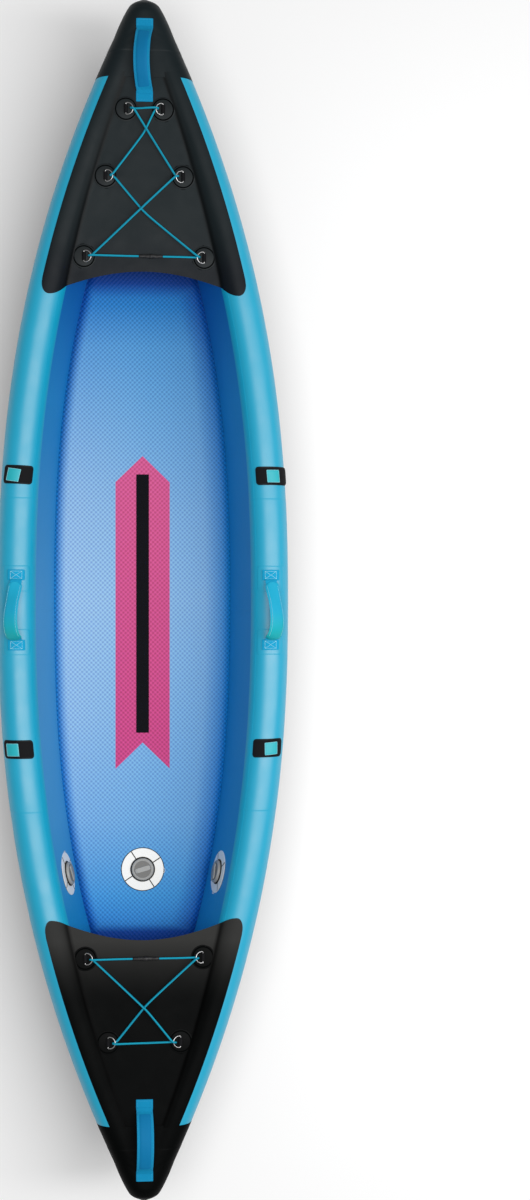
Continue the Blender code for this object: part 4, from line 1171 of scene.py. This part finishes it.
def lacing_rings():
    """Ten patches glued to the decks, each with a webbing loop that holds its D-ring."""
    for name, x, y, side in ring_sets():
        place = deck_frame(x, y)
        turn = Matrix.Rotation(pi if side > 0 else 0, 4, "Z")
        base = turned_part([(0, -0.0026), (BASE_DISC, -0.0026), (BASE_DISC, -0.0008),
                            (BASE_DISC - 0.0008, -0.0003), (PATCH_RADIUS + 0.0034, -0.0003),
                            (PATCH_RADIUS + 0.0030, -0.0008), (0, -0.0008)], 56)
        # Painted shade: a near-black disc shows in the groove round the patch, and a near-black rim under the
        # base disc is a painted shadow outline.
        groove = puck_part(PATCH_RADIUS + 0.0030, -0.0009, -0.0001, 48)
        rim = puck_part(BASE_DISC + 0.0012, -0.0026, -0.0014, 48)
        disc = turned_part([(0, -0.0006), (PATCH_RADIUS, -0.0006), (PATCH_RADIUS, 0.0002),
                            (PATCH_RADIUS - 0.0005, 0.0007), (PATCH_RADIUS - 0.0015, 0.0009),
                            (0, 0.0011)], 56)
        centres = [(px, 0, pz) for px, pz in LOOP_PATH]
        loop = band_part(resample(centres, 25), [(0, 1, 0)] * 25, [LOOP_WIDTH] * 25, [0.0013] * 25)
        parts = ((base, 0), (groove, 1), (rim, 1), (disc, 0), (moved(loop, turn), 2))
        node = name.replace("_ring_", "_patch_")
        mesh = painted_mesh([(moved(part, place), kind) for part, kind in parts], node)
        paints = [MATERIAL["patch" if y > 0 else "stern_patch"], MATERIAL["groove"], MATERIAL["strap"]]
        make_object(node + "_loop", mesh, paints, "hull", "black_patch", [node])
        wire = tube_part(ring_outline(), RING_WIRE, 14)
        tilt = Matrix.Translation((0, 0, RING_BAR_HEIGHT)) @ turn @ Matrix.Rotation(-RING_TILT, 4, "Y")
        mesh = mesh_from(*moved(wire, place @ tilt), name)
        make_object(name + "_wire", mesh, MATERIAL["steel"], name + "_body", "ring_steel", [name])


def round_ring(x, y, side, over_to, under_to):
    """Route points of the cord round the far end of a D-ring: in over the wire, down through, and out below.

    over_to and under_to are the places that its two legs run to.
    """
    hold = RING_WIRE + CORD_RADIUS + 0.0016
    far = x - side * RING_DEPTH * cos(RING_TILT)
    height = RING_BAR_HEIGHT + RING_DEPTH * sin(RING_TILT)
    over, under = [(Vector(place) - Vector((far, y))).normalized() for place in (over_to, under_to)]
    return [(far + over.x * LEAD_RUN, y + over.y * LEAD_RUN, height + hold),
            (far, y + over.y * LEG_SHIFT, height + hold),
            (far + side * hold, y, height),
            (far, y + under.y * LEG_SHIFT, height - hold),
            (far + under.x * LEAD_RUN, y + under.y * LEAD_RUN, height - hold + 0.0004)]


def laced_route(end):
    """Laced route of an end's cord from sleeve to sleeve, as (x, y, height above the deck)."""
    turns = LACING[end]
    places = [(*RINGS[end][number - 1], side) for (number, side), _ in turns]
    bars = [(side * x, y, side) for x, y, side in places]
    start = bars[0][1]
    stops = [(0.0, start), *[(x - side * RING_DEPTH, y) for x, y, side in bars], (0.0, start)]
    leads = [(x, start, height) for x, height in LEADS[end]]
    route = leads[:2]
    for bar, before, after, (_, crossing) in zip(bars, stops, stops[2:], turns):
        route += round_ring(*bar, before, after)
        route += [crossing] if crossing else []
    return route + leads[2:]


def smooth_run(route):
    """Points of a smooth curve through a route's own points."""
    route = [Vector((x, y, deck_height(y) + SKIN_GAP + height)) for x, y, height in route]
    ends = [2 * route[0] - route[1]] + route + [2 * route[-1] - route[-2]]
    points = []
    for a, b, c, d in zip(ends, ends[1:], ends[2:], ends[3:]):
        length = (c - b).length
        steps = max(4, min(24, round(length / 0.006)))
        m1 = (c - a) * 0.5 * min(1.0, length / max((c - a).length, 1e-6))
        m2 = (d - b) * 0.5 * min(1.0, length / max((d - b).length, 1e-6))
        for t in (k / steps for k in range(steps)):
            points.append((2 * t ** 3 - 3 * t ** 2 + 1) * b + (t ** 3 - 2 * t ** 2 + t) * m1
                          + (3 * t ** 2 - 2 * t ** 3) * c + (t ** 3 - t ** 2) * m2)
    return points + [route[-1]]


def crossings(points):
    """The run cut where it crosses the centreline, one piece for each ring that it goes round."""
    pieces = [[points[0]]]
    for a, b in zip(points, points[1:]):
        if a.x * b.x < 0 and len(pieces[-1]) > 12:
            middle = a.lerp(b, a.x / (a.x - b.x))
            pieces[-1].append(middle)
            pieces.append([middle])
        pieces[-1].append(b)
    return [[b for a, b in zip(piece[:1] + piece, piece) if b is piece[0] or (b - a).length > 1e-4]
            for piece in pieces]


def cord_piece(name, points, start):
    """Cord round one ring, cut where the cord crosses the centreline. Gives its end's run."""
    mesh = mesh_from(*tube_part(points, CORD_RADIUS, CORD_SIDES), name)
    runs = [start]
    for a, b in zip(points, points[1:]):
        runs.append(runs[-1] + (b - a).length)
    set_values(mesh, "along", [run for run in runs for _ in range(CORD_SIDES)])
    set_values(mesh, "turn", [cos(4 * pi * k / CORD_SIDES) for _ in runs for k in range(CORD_SIDES)])
    piece = make_object(name, mesh, MATERIAL["cord"], None, "cord")
    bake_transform(piece)
    return piece, runs[-1]


def cords():
    """Both laced cords, each of one piece for each ring; together its pieces stand for the whole."""
    for end, turns in LACING.items():
        run = 0.0
        for ((number, side), _), points in zip(turns, crossings(smooth_run(laced_route(end)))):
            name = f"{number}_{SIDES[side]}"
            piece, run = cord_piece(f"{end}_cord_{name}", points, run)
            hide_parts(end + "_bungee")
    for end, turns in LACING.items():
        sleeve(end, *SLEEVES[end], RINGS[end][turns[0][0][0] - 1][1])


def sleeve(end, low, high, y):
    """Rubber tape that joins a cord's two ends: creased along, with a lump where the ends meet."""
    length = high - low
    profile = [(0, 0), (0.0030, 0.0), (0.0040, 0.0012)]
    for share in np.linspace(0.05, 0.95, 38):
        lump = 0.0024 * bell((share - 0.52) / 0.075)
        shoulder = 0.0007 * sin(pi * share)
        profile.append((0.0043 + lump + shoulder, share * length))
    profile += [(0.0040, length - 0.0012), (0.0030, length), (0, length)]

    def creased(radius, height, angle):
        fold = noise.noise(Vector((cos(angle) * 1.6, sin(angle) * 1.6, height * 130 + low * 50)))
        return radius * (1 + 0.20 * fold) if radius > 0.001 else radius

    place = (Matrix.Translation((low, y, deck_height(y) + SKIN_GAP + SLEEVE_HEIGHT))
             @ Matrix.Rotation(pi / 2, 4, "Y"))
    mesh = mesh_from(*moved(turned_part(profile, 28, creased), place), end)
    make_object(end + "_cord_sleeve", mesh, MATERIAL["sleeve"], "hull", "cord_sleeve",
                [end + "_bungee_sleeve"])


# ---- handles -----------------------------------------------------------------
MIDDLE_HANDLES = {"bow": (1.683, 1.449), "stern": (-1.682, -1.452)}
SIDE_HANDLE_Y, SIDE_HANDLE_HALF = -0.029, 0.117
TAB_THICK = 0.0035
ARCH_STEPS = 48
STRAP_THICK = 0.0022
# Widths of a handle's strap at its tabs and its grip, and of its pad forward and aft; pad_from says how many
# steps of the arch each pad leaves bare at its tab, and corner rounds the pad's ends
LOOKS = {
    "middle": {"strap": (0.047, 0.0485), "strap_seams": True, "cloth": "web_blue", "thread": "thread_blue",
               "slot": "webbing_blue", "pad_from": (2, 2), "corner": 0.001, "pad": (0.0370, 0.0370),
               "pad_thick": 0.0052, "pad_seams": False, "pad_cloth": "pad_blue", "droop": 1.0},
    "side": {"strap": (0.034, 0.038), "strap_seams": False, "cloth": "web_cyan", "thread": "thread",
             "slot": "webbing_cyan", "pad_from": (1, 0), "corner": 0.011, "pad": (0.0400, 0.0500),
             "pad_thick": 0.0072, "pad_seams": True, "pad_cloth": "pad_cyan", "droop": 1.85}}


def top_height(x, y):
    """Height of the skin over the hull's middle, on an end cap or its deck."""
    if HALF_LENGTH - abs(y) > CAP_LENGTH:
        return deck_height(y)
    run = cap_half(y, CAP_LIFT + SEAM_STEP)
    widest = int(np.argmax(run[:, 0]))
    return float(np.interp(abs(x), run[widest:, 0][::-1], run[widest:, 2][::-1]))


def middle_surface(y):
    return lambda u, v, lift: Vector((u, y + v, top_height(u, y + v) + lift))


def rail_surface(side, y, angle=pi / 2, turn=0.0):
    """Surface of a rail as (u outboard, v to the bow), turned about the place that it starts from."""
    def surface(u, v, lift):
        across = u * cos(turn) - v * sin(turn)
        along = u * sin(turn) + v * cos(turn)
        return rail_point(y + along, angle - across / RAIL_RADIUS, lift, side)
    return surface


def arch(start, end, lean, droop=1.0):
    """Run of a handle between its tabs: centres, directions across, and how far each has risen, 0 to 1.

    A droop above one moves its highest place towards the stern.
    """
    start, end = Vector(start), Vector(end)
    axis = (end - start).normalized()
    upright = (Vector((0, 0, 1)) - axis * axis.z).normalized()
    rise = upright * cos(lean) + upright.cross(axis) * sin(lean)
    run = []
    for share in np.linspace(0, 1, ARCH_STEPS + 1):
        lift = max(0.0, sin(pi * share ** droop)) ** (0.75 / droop ** 0.5)
        across = axis.cross(upright).lerp(axis.cross(rise), min(1.0, lift / 0.6)).normalized()
        run.append((start + (end - start) * share + rise * GRIP_LIFT * lift, across, lift))
    return run


def cloth_part(run, widths, thick, crown=0.0):
    centres, across = [c for c, _, _ in run], [a for _, a, _ in run]
    return band_part(centres, across, widths, [thick] * len(run), crown)


def edge_seams(run, widths, inset, height):
    """Two seams along a handle's cloth, inset from its edges."""
    return [edge_seam(run, [sign * (width / 2 - inset) for width in widths], height) for sign in (-1, 1)]


def edge_seam(run, offset, height):
    """Seam along a handle's cloth at an offset from its middle."""
    points, ups = [], []
    for k, (centre, across, _) in enumerate(run):
        along = (run[min(k + 1, len(run) - 1)][0] - run[max(k - 1, 0)][0]).normalized()
        up = across.cross(along).normalized()
        up = up if up.z > 0 else -up
        points.append(centre + across * offset[k] + up * height)
        ups.append(up)
    return points, ups


def handle(label, start, end, lean, tabs, look):
    """Strap with its padded sleeve, in two halves that arch from their tabs up to the grip."""
    run = arch(start, end, lean, look["droop"])
    middle = ARCH_STEPS // 2
    axis = (run[-1][0] - run[0][0]).normalized()
    halves = (("fore", run[:middle + 1], tabs[0], run[0][0], axis),
              ("aft", run[middle:][::-1], tabs[1], run[-1][0], -axis))
    for half, part, tab, hinge, into in halves:
        lead = [(Vector(tab).lerp(part[0][0], share), part[0][1], 0.0) for share in (0.0, 0.35, 0.7)]
        strap = lead + part
        full = [min(1.0, item[2] / 0.8) for item in strap]
        widths = [look["strap"][0] + (look["strap"][1] - look["strap"][0]) * f for f in full]
        pieces = [(cloth_part(strap, widths, STRAP_THICK), 0)]
        if look["strap_seams"]:
            pieces.append((stitch_part(edge_seams(strap[2:], widths[2:], 0.0028, STRAP_THICK * 0.5)), 1))
        mesh = painted_mesh(pieces, f"{label}_{half}_strap")
        paints = [MATERIAL[look["cloth"]], MATERIAL[look["thread"]]]
        cloth = make_object(f"{label}_handle_{half}_strap", mesh, paints, None, look["slot"],
                            [label + "_handle_grip"])
        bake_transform(cloth)
        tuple(hinge)
        first = look["pad_from"][0 if half == "fore" else 1]
        sleeve_run = part[first:]
        away = [(p[0] - sleeve_run[0][0]).length for p in sleeve_run]
        corner = look["corner"]
        cut = [corner - sqrt(max(0.0, corner ** 2 - max(0.0, corner - d) ** 2)) for d in away]
        length = (run[-1][0] - run[0][0]).length
        along = [(p[0] - run[0][0]).length / length for p in sleeve_run]
        widths = [look["pad"][0] * (1 - f) + look["pad"][1] * f - 2 * c for f, c in zip(along, cut)]
        pieces = [(cloth_part(sleeve_run, widths, look["pad_thick"], 0.25), 0)]
        if look["pad_seams"]:
            seams = edge_seams(sleeve_run[3:], widths[3:], 0.0045, look["pad_thick"] * 0.56)
            pieces.append((stitch_part(seams), 1))
        mesh = painted_mesh(pieces, f"{label}_{half}_pad")
        paints = [MATERIAL[look["pad_cloth"]], MATERIAL[look["thread"]]]
        pad = make_object(f"{label}_handle_{half}_pad", mesh, paints, None, look["slot"])
        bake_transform(pad)
        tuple(hinge)


def box_seams(surface, width, length, lift, cross=False):
    """Box stitching of a tab; it may have a cross in it."""
    w, l = width / 2, length / 2
    paths = [[(-w, -l), (w, -l)], [(w, -l), (w, l)], [(w, l), (-w, l)], [(-w, l), (-w, -l)]]
    if cross:
        paths += [[(-w, -l), (w, l)], [(-w, l), (w, -l)]]
    return [seam(path, surface, lift) for path in paths]


def middle_handles():
    """Carrying handles at the bow and stern."""
    for label, (outer, inner) in MIDDLE_HANDLES.items():
        side = 1 if outer > 0 else -1
        pieces = []
        anchors, hinges = [], []
        for edge, into in ((outer, -side), (inner, side)):
            surface = middle_surface(edge + into * TAB_LENGTH / 2)
            outline = rounded_outline(WEBBING_WIDTH, TAB_LENGTH, 0.0015, 2)
            pieces.append((laid_part(outline, surface, -0.0006, TAB_THICK, 0.0008), 0))
            pieces.append((stitch_part(box_seams(surface, 0.040, 0.021, TAB_THICK)), 1))
            anchor = edge + into * (TAB_LENGTH - 0.006)
            anchors.append((0, anchor, top_height(0, anchor) + TAB_THICK + STRAP_THICK * 0.4))
            hinge = edge + into * (TAB_LENGTH + GRIP_CLEAR)
            hinges.append((0, hinge, top_height(0, hinge) + GRIP_PIVOT))
        mesh = painted_mesh(pieces, label + "_tabs")
        make_object(label + "_handle_tabs", mesh, [MATERIAL["web_blue"], MATERIAL["thread_blue"]], "hull",
                    "webbing_blue", [label + "_handle_base"])
        handle(label, *hinges, GRIP_LEANS[label], anchors, LOOKS["middle"])


def side_handles():
    """Carrying handles on the rails, with reinforcing patches under their tabs."""
    lift = SKIN_GAP + TAB_THICK
    for side, label in SIDES.items():
        pieces = []
        anchors, hinges = [], []
        top, bottom = SIDE_HANDLE_Y + SIDE_HANDLE_HALF, SIDE_HANDLE_Y - SIDE_HANDLE_HALF
        for edge, into in ((top, -1), (bottom, 1)):
            surface = rail_surface(side, edge + into * TAB_LENGTH / 2)
            outline = rounded_outline(WEBBING_WIDTH, TAB_LENGTH + 0.002, 0.002, 2)
            pieces.append((laid_part(outline, surface, SKIN_GAP, lift, 0.0008), 0))
            seams = box_seams(surface, 0.031, 0.0215, lift, cross=True)
            pieces.append((stitch_part(seams, 0.0034, 0.0044, 0.0014), 1))
            x, z = rail_centre(edge + into * TAB_LENGTH)
            anchors.append((side * x, edge + into * (TAB_LENGTH - 0.003), z + RAIL_RADIUS + lift))
            x, z = rail_centre(edge + into * (TAB_LENGTH + GRIP_CLEAR))
            hinges.append((side * x, edge + into * (TAB_LENGTH + GRIP_CLEAR), z + RAIL_RADIUS + GRIP_PIVOT))
        for number, y in enumerate((SIDE_HANDLE_Y + 0.092, SIDE_HANDLE_Y - 0.094)):
            surface = rail_surface(side, y)
            patch = laid_part(rounded_outline(0.086, 0.076, 0.010), surface, 0.0004, 0.0015, 0.0003)
            name = f"{label}_rail_patch_{number}"
            make_object(name, mesh_from(*patch, name), MATERIAL["cyan"], "hull", "side_pvc")
        mesh = painted_mesh(pieces, label + "_tabs")
        make_object(label + "_handle_tabs", mesh, [MATERIAL["web_cyan"], MATERIAL["thread"]], "hull",
                    "webbing_cyan", [label + "_handle_base"])
        handle(label, *hinges, side * GRIP_LEANS["side"], anchors, LOOKS["side"])


# ---- paddle holders ----------------------------------------------------------
PADDLE_PLACES = {"front": 0.366, "rear": -0.436}
# Degrees: both ends of a holder round the rail, the place of its sewn square, and the turn of both
PADDLE_ANGLES = {"left_front": (36, 131, 72, -9), "right_front": (14, 126, 73, 1),
                 "left_rear": (29, 127, 64, 1), "right_rear": (34, 130, 74, 5)}
STRAP_INSET = 0.004
TAB_SQUARE = 0.0355


def paddle_holders():
    """Four holders on the rails: a pad round the rail, and a strap over it with a sewn square."""
    for side, label in SIDES.items():
        for spot, y in PADDLE_PLACES.items():
            node = f"{label}_{spot}_paddle"
            low, high, at, turned = PADDLE_ANGLES[f"{label}_{spot}"]
            turn = radians(turned) * side
            middle = radians(low + high) / 2
            length = radians(high - low) * RAIL_RADIUS
            surface = rail_surface(side, y, middle, turn * 0.3)
            outline = rounded_outline(length, 0.0545, 0.010)
            pad = laid_part(outline, surface, 0.0006, SKIN_GAP + 0.0018, 0.0008)
            make_object(node + "_padding", mesh_from(*pad, node + "_padding"), MATERIAL["patch"], "hull",
                        "black_pvc", [node + "_pad"])
            length -= 2 * STRAP_INSET
            outline = [(u, v * (1 - 0.10 * max(0.0, -u / length * 2))) for u, v in
                       rounded_outline(length, 0.0500, 0.009)]
            strap = laid_part(outline, rail_surface(side, y, middle, turn * 0.4), SKIN_GAP + 0.0022,
                              SKIN_GAP + 0.0052, 0.0010)
            surface = rail_surface(side, y - 0.001, radians(at), turn)
            square = laid_part(rounded_outline(TAB_SQUARE, TAB_SQUARE * 1.04, 0.0015, 2), surface,
                               SKIN_GAP + 0.0050, SKIN_GAP + 0.0062, 0.0005)
            border = box_seams(surface, TAB_SQUARE - 0.0016, TAB_SQUARE, SKIN_GAP + 0.0062)
            stitches = stitch_part(border, 0.0036, 0.0042, 0.0013)
            mesh = painted_mesh([(strap, 0), (square, 1), (stitches, 2)], node + "_strap")
            make_object(node + "_webbing", mesh, [MATERIAL["strap"], MATERIAL["teal"], MATERIAL["thread"]],
                        node + "_strap_body", "black_strap", [node + "_strap"])


# ---- valves ------------------------------------------------------------------
VALVE_Y = -0.826
VALVE_STATIONS = (-0.76, -0.88)
VALVE_BARREL, VALVE_DEPTH = 0.0295, 0.038
VALVE_FLOOR, PLUNGER_FOOT = 0.004, 0.0115    # above the foot of the barrel
SPLIT_TURN = radians(33)    # the first of the ring's four splits
BAR_TURN = radians(16)      # the cap's grip bar
FLOOR_VALVE_SLOPE = (-0.80, -0.86)     # the floor valve lies at the bottom's slope between these stations


def floor_valve_place():
    return (Matrix.Translation((0, VALVE_Y, rocker(VALVE_Y) + BOARD_THICK))
            @ Matrix.Rotation(bottom_angle(*FLOOR_VALVE_SLOPE), 4, "X"))


def side_valve_place(side):
    """Frame in the middle of a side chamber's inner wall, Z pointing into the cockpit."""
    corners = []
    for y in VALVE_STATIONS:
        x, z = rail_centre(y)
        corners.append(Vector((floor_half(y), y, rocker(y) + BOARD_THICK + GAP)))
        corners.append(Vector((x - RAIL_RADIUS * cos(LEAN), y, z + RAIL_RADIUS * sin(LEAN))))
    middle = sum(corners, Vector()) / 4
    along = (corners[2] + corners[3] - corners[0] - corners[1]).normalized()
    up = (corners[1] + corners[3] - corners[0] - corners[2]).normalized()
    normal = up.cross(along).normalized()
    if normal.x > 0:
        normal = -normal
    up = (up - normal * up.dot(normal)).normalized()
    place = Matrix((up.cross(normal), up, normal)).transposed().to_4x4()
    place.translation = middle
    mirror = Matrix.Diagonal((-1, 1, 1, 1))
    return place if side > 0 else mirror @ place @ mirror


def knurled(radius, height, angle):
    """Fine grip teeth round the rim of a valve cap."""
    if radius < CAP_RADIUS - 0.0012:
        return radius
    return radius - 0.0005 * (0.5 + 0.5 * cos(40 * angle))


def valve(label, place):
    """Valve with its split reinforcing ring, its cap with a grip bar, and its plunger."""
    top = SKIN_GAP
    floor = VALVE_FLOOR - VALVE_DEPTH
    body = turned_part([(0, -VALVE_DEPTH), (VALVE_BARREL, -VALVE_DEPTH), (VALVE_BARREL, 0.0),
                        (VALVE_RING - 0.0008, 0.0), (VALVE_RING - 0.0008, top + 0.0006),
                        (VALVE_RING - 0.0014, top + 0.0012), (VALVE_FLANGE + 0.0006, top + 0.0014),
                        (VALVE_FLANGE, top + 0.0020), (VALVE_FLANGE - 0.002, top + 0.003),
                        (VALVE_WELL, top + 0.003), (VALVE_WELL, floor), (0, floor)], 72)
    # The dark rim under the ring's outer edge is a painted shadow outline, like the dark shadow band at the
    # flange; the four splits are dark joints.
    rim = turned_part([(VALVE_BARREL + 0.001, 0.0), (VALVE_RING + 0.0014, 0.0), (VALVE_RING + 0.0014, 0.0008),
                       (VALVE_RING - 0.001, 0.0009), (VALVE_BARREL + 0.001, 0.0009)], 72)
    shadow = band_ring(VALVE_FLANGE - 0.004, VALVE_FLANGE + 0.0018, top + 0.0010, top + 0.0033)
    pieces = [(body, 0), (rim, 1), (shadow, 1)]
    outline = rounded_outline(VALVE_RING - VALVE_FLANGE - 0.002, 0.0030, 0.0004, 2)
    middle = (VALVE_RING + VALVE_FLANGE) / 2
    for k in range(4):
        turn = Matrix.Rotation(SPLIT_TURN + k * pi / 2, 4, "Z")
        split = laid_part(outline, lambda u, v, w: turn @ Vector((u + middle, v, w)), 0.0012, top + 0.00165,
                          0.0002)
        pieces.append((split, 1))
    tether = [(VALVE_RING + 0.0045 * sin(t) - 0.0015, -0.004 + 0.0075 * cos(t), top + 0.001 + 0.0015 * sin(t))
              for t in np.linspace(0, pi, 13)]
    pieces.append((tube_part(tether, 0.0006, 8), 0))
    mesh = painted_mesh([(moved(part, place), kind) for part, kind in pieces], label + "_valve")
    make_object(label + "_valve_ring", mesh, [MATERIAL["white"], MATERIAL["line"]], "hull", "valve_white",
                [label + "_valve_body"])
    base = top + CAP_BASE
    profile = [(0, -0.006), (VALVE_WELL - 0.0012, -0.006), (VALVE_WELL - 0.0012, 0), (CAP_RADIUS - 0.0015, 0),
               (CAP_RADIUS, 0.0012), (CAP_RADIUS, 0.0055), (CAP_RADIUS - 0.0012, 0.0078),
               (CAP_RADIUS - 0.0030, 0.0085), (0.0290, 0.0085), (0.0282, 0.0078), (0.0262, 0.0078),
               (0.0255, 0.0085), (0.0235, 0.0083), (0.0222, 0.0060), (0.0210, 0.0056), (0, 0.0056)]
    cap = turned_part([(radius, base + height) for radius, height in profile], 160, knurled)
    across = Matrix.Rotation(BAR_TURN, 4, "Z")
    bar = laid_part(rounded_outline(0.0490, 0.0155, 0.0055), lambda u, v, w: across @ Vector((u, v, w)),
                    base + 0.005, base + 0.0118, 0.0022, 0.002)
    # Painted shade: the groove along the grip bar and the ring beside the cap's groove take the darker grey.
    groove = laid_part(rounded_outline(0.0300, 0.0020, 0.0006),
                       lambda u, v, w: across @ Vector((u, v - 0.0118, w)), base + 0.005, base + 0.0068,
                       0.0004, 0.002)
    ring = turned_part([(0.0150, base + 0.0050), (0.0185, base + 0.0050), (0.0183, base + 0.0068),
                        (0.0174, base + 0.0072), (0.0160, base + 0.0070), (0.0150, base + 0.0060)], 64)
    dark = band_ring(0.0240, 0.0262, base + 0.0060, base + 0.0088)
    lid = [(cap, 0), (bar, 0), (ring, 0), (groove, 1), (dark, 1)]
    mesh = painted_mesh([(moved(part, place), kind) for part, kind in lid], label + "_cap")
    make_object(label + "_valve_lid", mesh, [MATERIAL["grey"], MATERIAL["shade_grey"]],
                label + "_valve_cap_body", "valve_grey", [label + "_valve_cap"])
    low = PLUNGER_FOOT - VALVE_DEPTH
    profile = [(0, 0), (0.0165, 0), (0.0165, 0.0022), (0.0158, 0.003), (0.0080, 0.0036), (0.0070, 0.0045),
               (0.0065, 0.0115), (0.0055, 0.0125), (0, 0.0125)]
    plunger = turned_part([(radius, low + height) for radius, height in profile], 40)
    make_object(label + "_valve_stem", mesh_from(*moved(plunger, place), label + "_stem"), MATERIAL["grey"],
                label + "_valve_plunger_body", "valve_grey", [label + "_valve_plunger"])


def valves():
    places = {"floor": floor_valve_place(), "left": side_valve_place(-1), "right": side_valve_place(1)}
    for label, place in places.items():
        valve(label, place)


# ---- floor strip and fin box -------------------------------------------------
STRIP_WIDTH, STRIP_ENDS = 0.0385, (0.386, -0.408)
FIN_Y = -1.000
FIN_SLOPE = (-0.80, -1.10)  # the fitting lies at the bottom's slope between these stations
FIN_PATCH = (0.2025, 0.327)
FIN_CHANNEL_LENGTH, FIN_HOLES = 0.196, (0.070, -0.084)
# Width, length, corner and height of each closed run round the housing, from its foot up and into its channel
FIN_RUNS = ((0.1390, 0.2990, 0.040, 0.0016), (0.1370, 0.2970, 0.040, 0.0026), (0.1120, 0.2740, 0.036, 0.0030),
            (0.1020, 0.2640, 0.034, 0.0044), (0.0985, 0.2600, 0.033, 0.0070), (0.0955, 0.2570, 0.032, 0.0076),
            (0.0900, 0.2500, 0.030, 0.0072), (0.0840, 0.2440, 0.027, 0.0060), (0.0760, 0.2360, 0.022, 0.0062),
            (0.0640, 0.2260, 0.016, 0.0102), (0.0600, 0.2220, 0.014, 0.0110), (0.0540, 0.2160, 0.011, 0.0110),
            (0.0270, 0.1990, 0.0062, 0.0110), (0.0250, 0.1970, 0.0055, 0.0100),
            (0.0250, 0.1970, 0.0055, 0.0042))


def seat_strip():
    """Hook-and-loop strip along the middle of the floor that the seats fasten to."""
    middle = sum(STRIP_ENDS) / 2

    def surface(u, v, lift):
        return Vector((u, middle + v, rocker(middle + v) + BOARD_THICK + lift))

    outline = rounded_outline(STRIP_WIDTH, STRIP_ENDS[0] - STRIP_ENDS[1], 0.0015, 2)
    mesh = mesh_from(*laid_part(outline, surface, -0.0002, 0.0021, 0.0006), "seat_strip")
    make_object("seat_strip", mesh, MATERIAL["hook"], "hull", "hook_strip", ["seat_hook_strip"])


def fin_fitting():
    """Patch and moulded slide-in box for a fin, with its channel, notch and two drain holes."""
    place = (Matrix.Translation((0, FIN_Y, rocker(FIN_Y) - GAP))
             @ Matrix.Rotation(bottom_angle(*FIN_SLOPE), 4, "X") @ Matrix.Rotation(pi, 4, "Y"))

    def level(u, v, lift):
        return Vector((u, v, lift))

    patch = laid_part(rounded_outline(*FIN_PATCH, 0.028, 10), level, -0.0006, 0.0018, 0.0006)
    mesh = mesh_from(*moved(patch, place), "fin_patch")
    make_object("fin_patch", mesh, MATERIAL["fin_patch"], "hull", "black_pvc", ["fin_box_patch"])
    rings = [[(u, v, height) for u, v in rounded_outline(width, length, corner, 8)]
             for width, length, corner, height in FIN_RUNS]
    mesh = mesh_from(*loft_part(rings), "fin_housing", 30)
    front = FIN_CHANNEL_LENGTH / 2 - 0.014
    notch = laid_part(rounded_outline(0.044, 0.012, 0.002, 2), lambda u, v, w: Vector((u, v + front, w)),
                      0.0065, 0.02)
    mesh = cut_away(mesh, notch)
    mesh.transform(place)
    mesh.shade_smooth()
    mesh.set_sharp_from_angle(angle=radians(30))
    make_object("fin_housing", mesh, MATERIAL["moulded"], "hull", "moulded_black", ["fin_box"])
    for number, y in enumerate(FIN_HOLES):
        name = f"fin_hole_{number}"
        hole = moved(puck_part(0.0090, 0.0036, 0.0045, 32), place @ Matrix.Translation((0, y, 0)))
        make_object(name, mesh_from(*hole, name), MATERIAL["hole"], "hull", "floor_pvc")


# ---- stage -------------------------------------------------------------------
STAGE_HALF, STAGE_TOP = 9, -0.001
WORLD_LIGHT = 0.29
KEY_PLACE, KEY_SIZE, KEY_ENERGY = (2.7, -0.2, 5.4), (9.0, 2.2), 395
CAMERA_PLACE, CAMERA_AIM, CAMERA_LENS = (-0.10, 0.0, 5.8), (0.3609, 0.0, 0.3), 55.5


def stage():
    """Pale floor, a large soft light above and to starboard, and a camera high above."""
    scene = bpy.context.scene
    scene.view_settings.view_transform = "Standard"
    corners = [[(x, y, STAGE_TOP) for x in (-STAGE_HALF, STAGE_HALF)] for y in (-STAGE_HALF, STAGE_HALF)]
    mesh = mesh_from(*sheet_part(corners, 0.02, (0, 0, 5)), "stage_floor")
    ground = bpy.data.objects.new("stage_floor", mesh)
    mesh.materials.append(PAINTS["stage"].material)
    scene.collection.objects.link(ground)
    world = bpy.data.worlds.new("studio")
    world.use_nodes = True
    world.node_tree.nodes["Background"].inputs["Color"].default_value = (1.0, 1.0, 1.0, 1)
    world.node_tree.nodes["Background"].inputs["Strength"].default_value = WORLD_LIGHT
    scene.world = world
    light = bpy.data.lights.new("key_light", "AREA")
    light.shape = "RECTANGLE"
    light.size, light.size_y = KEY_SIZE
    light.energy = KEY_ENERGY
    key = bpy.data.objects.new("key_light", light)
    key.location = KEY_PLACE
    key.visible_camera = False
    scene.collection.objects.link(key)
    camera = bpy.data.objects.new("camera", bpy.data.cameras.new("camera"))
    camera.data.lens = CAMERA_LENS
    camera.location = CAMERA_PLACE
    aim = Vector(CAMERA_AIM) - Vector(CAMERA_PLACE)
    back, up = -aim.normalized(), Vector((0, 1, 0))
    right = up.cross(back).normalized()
    camera.rotation_euler = Matrix((right, back.cross(right), back)).transposed().to_euler()
    scene.collection.objects.link(camera)
    scene.camera = camera


hull()
lacing_rings()
cords()
middle_handles()
side_handles()
paddle_holders()
valves()
seat_strip()
fin_fitting()
stage()
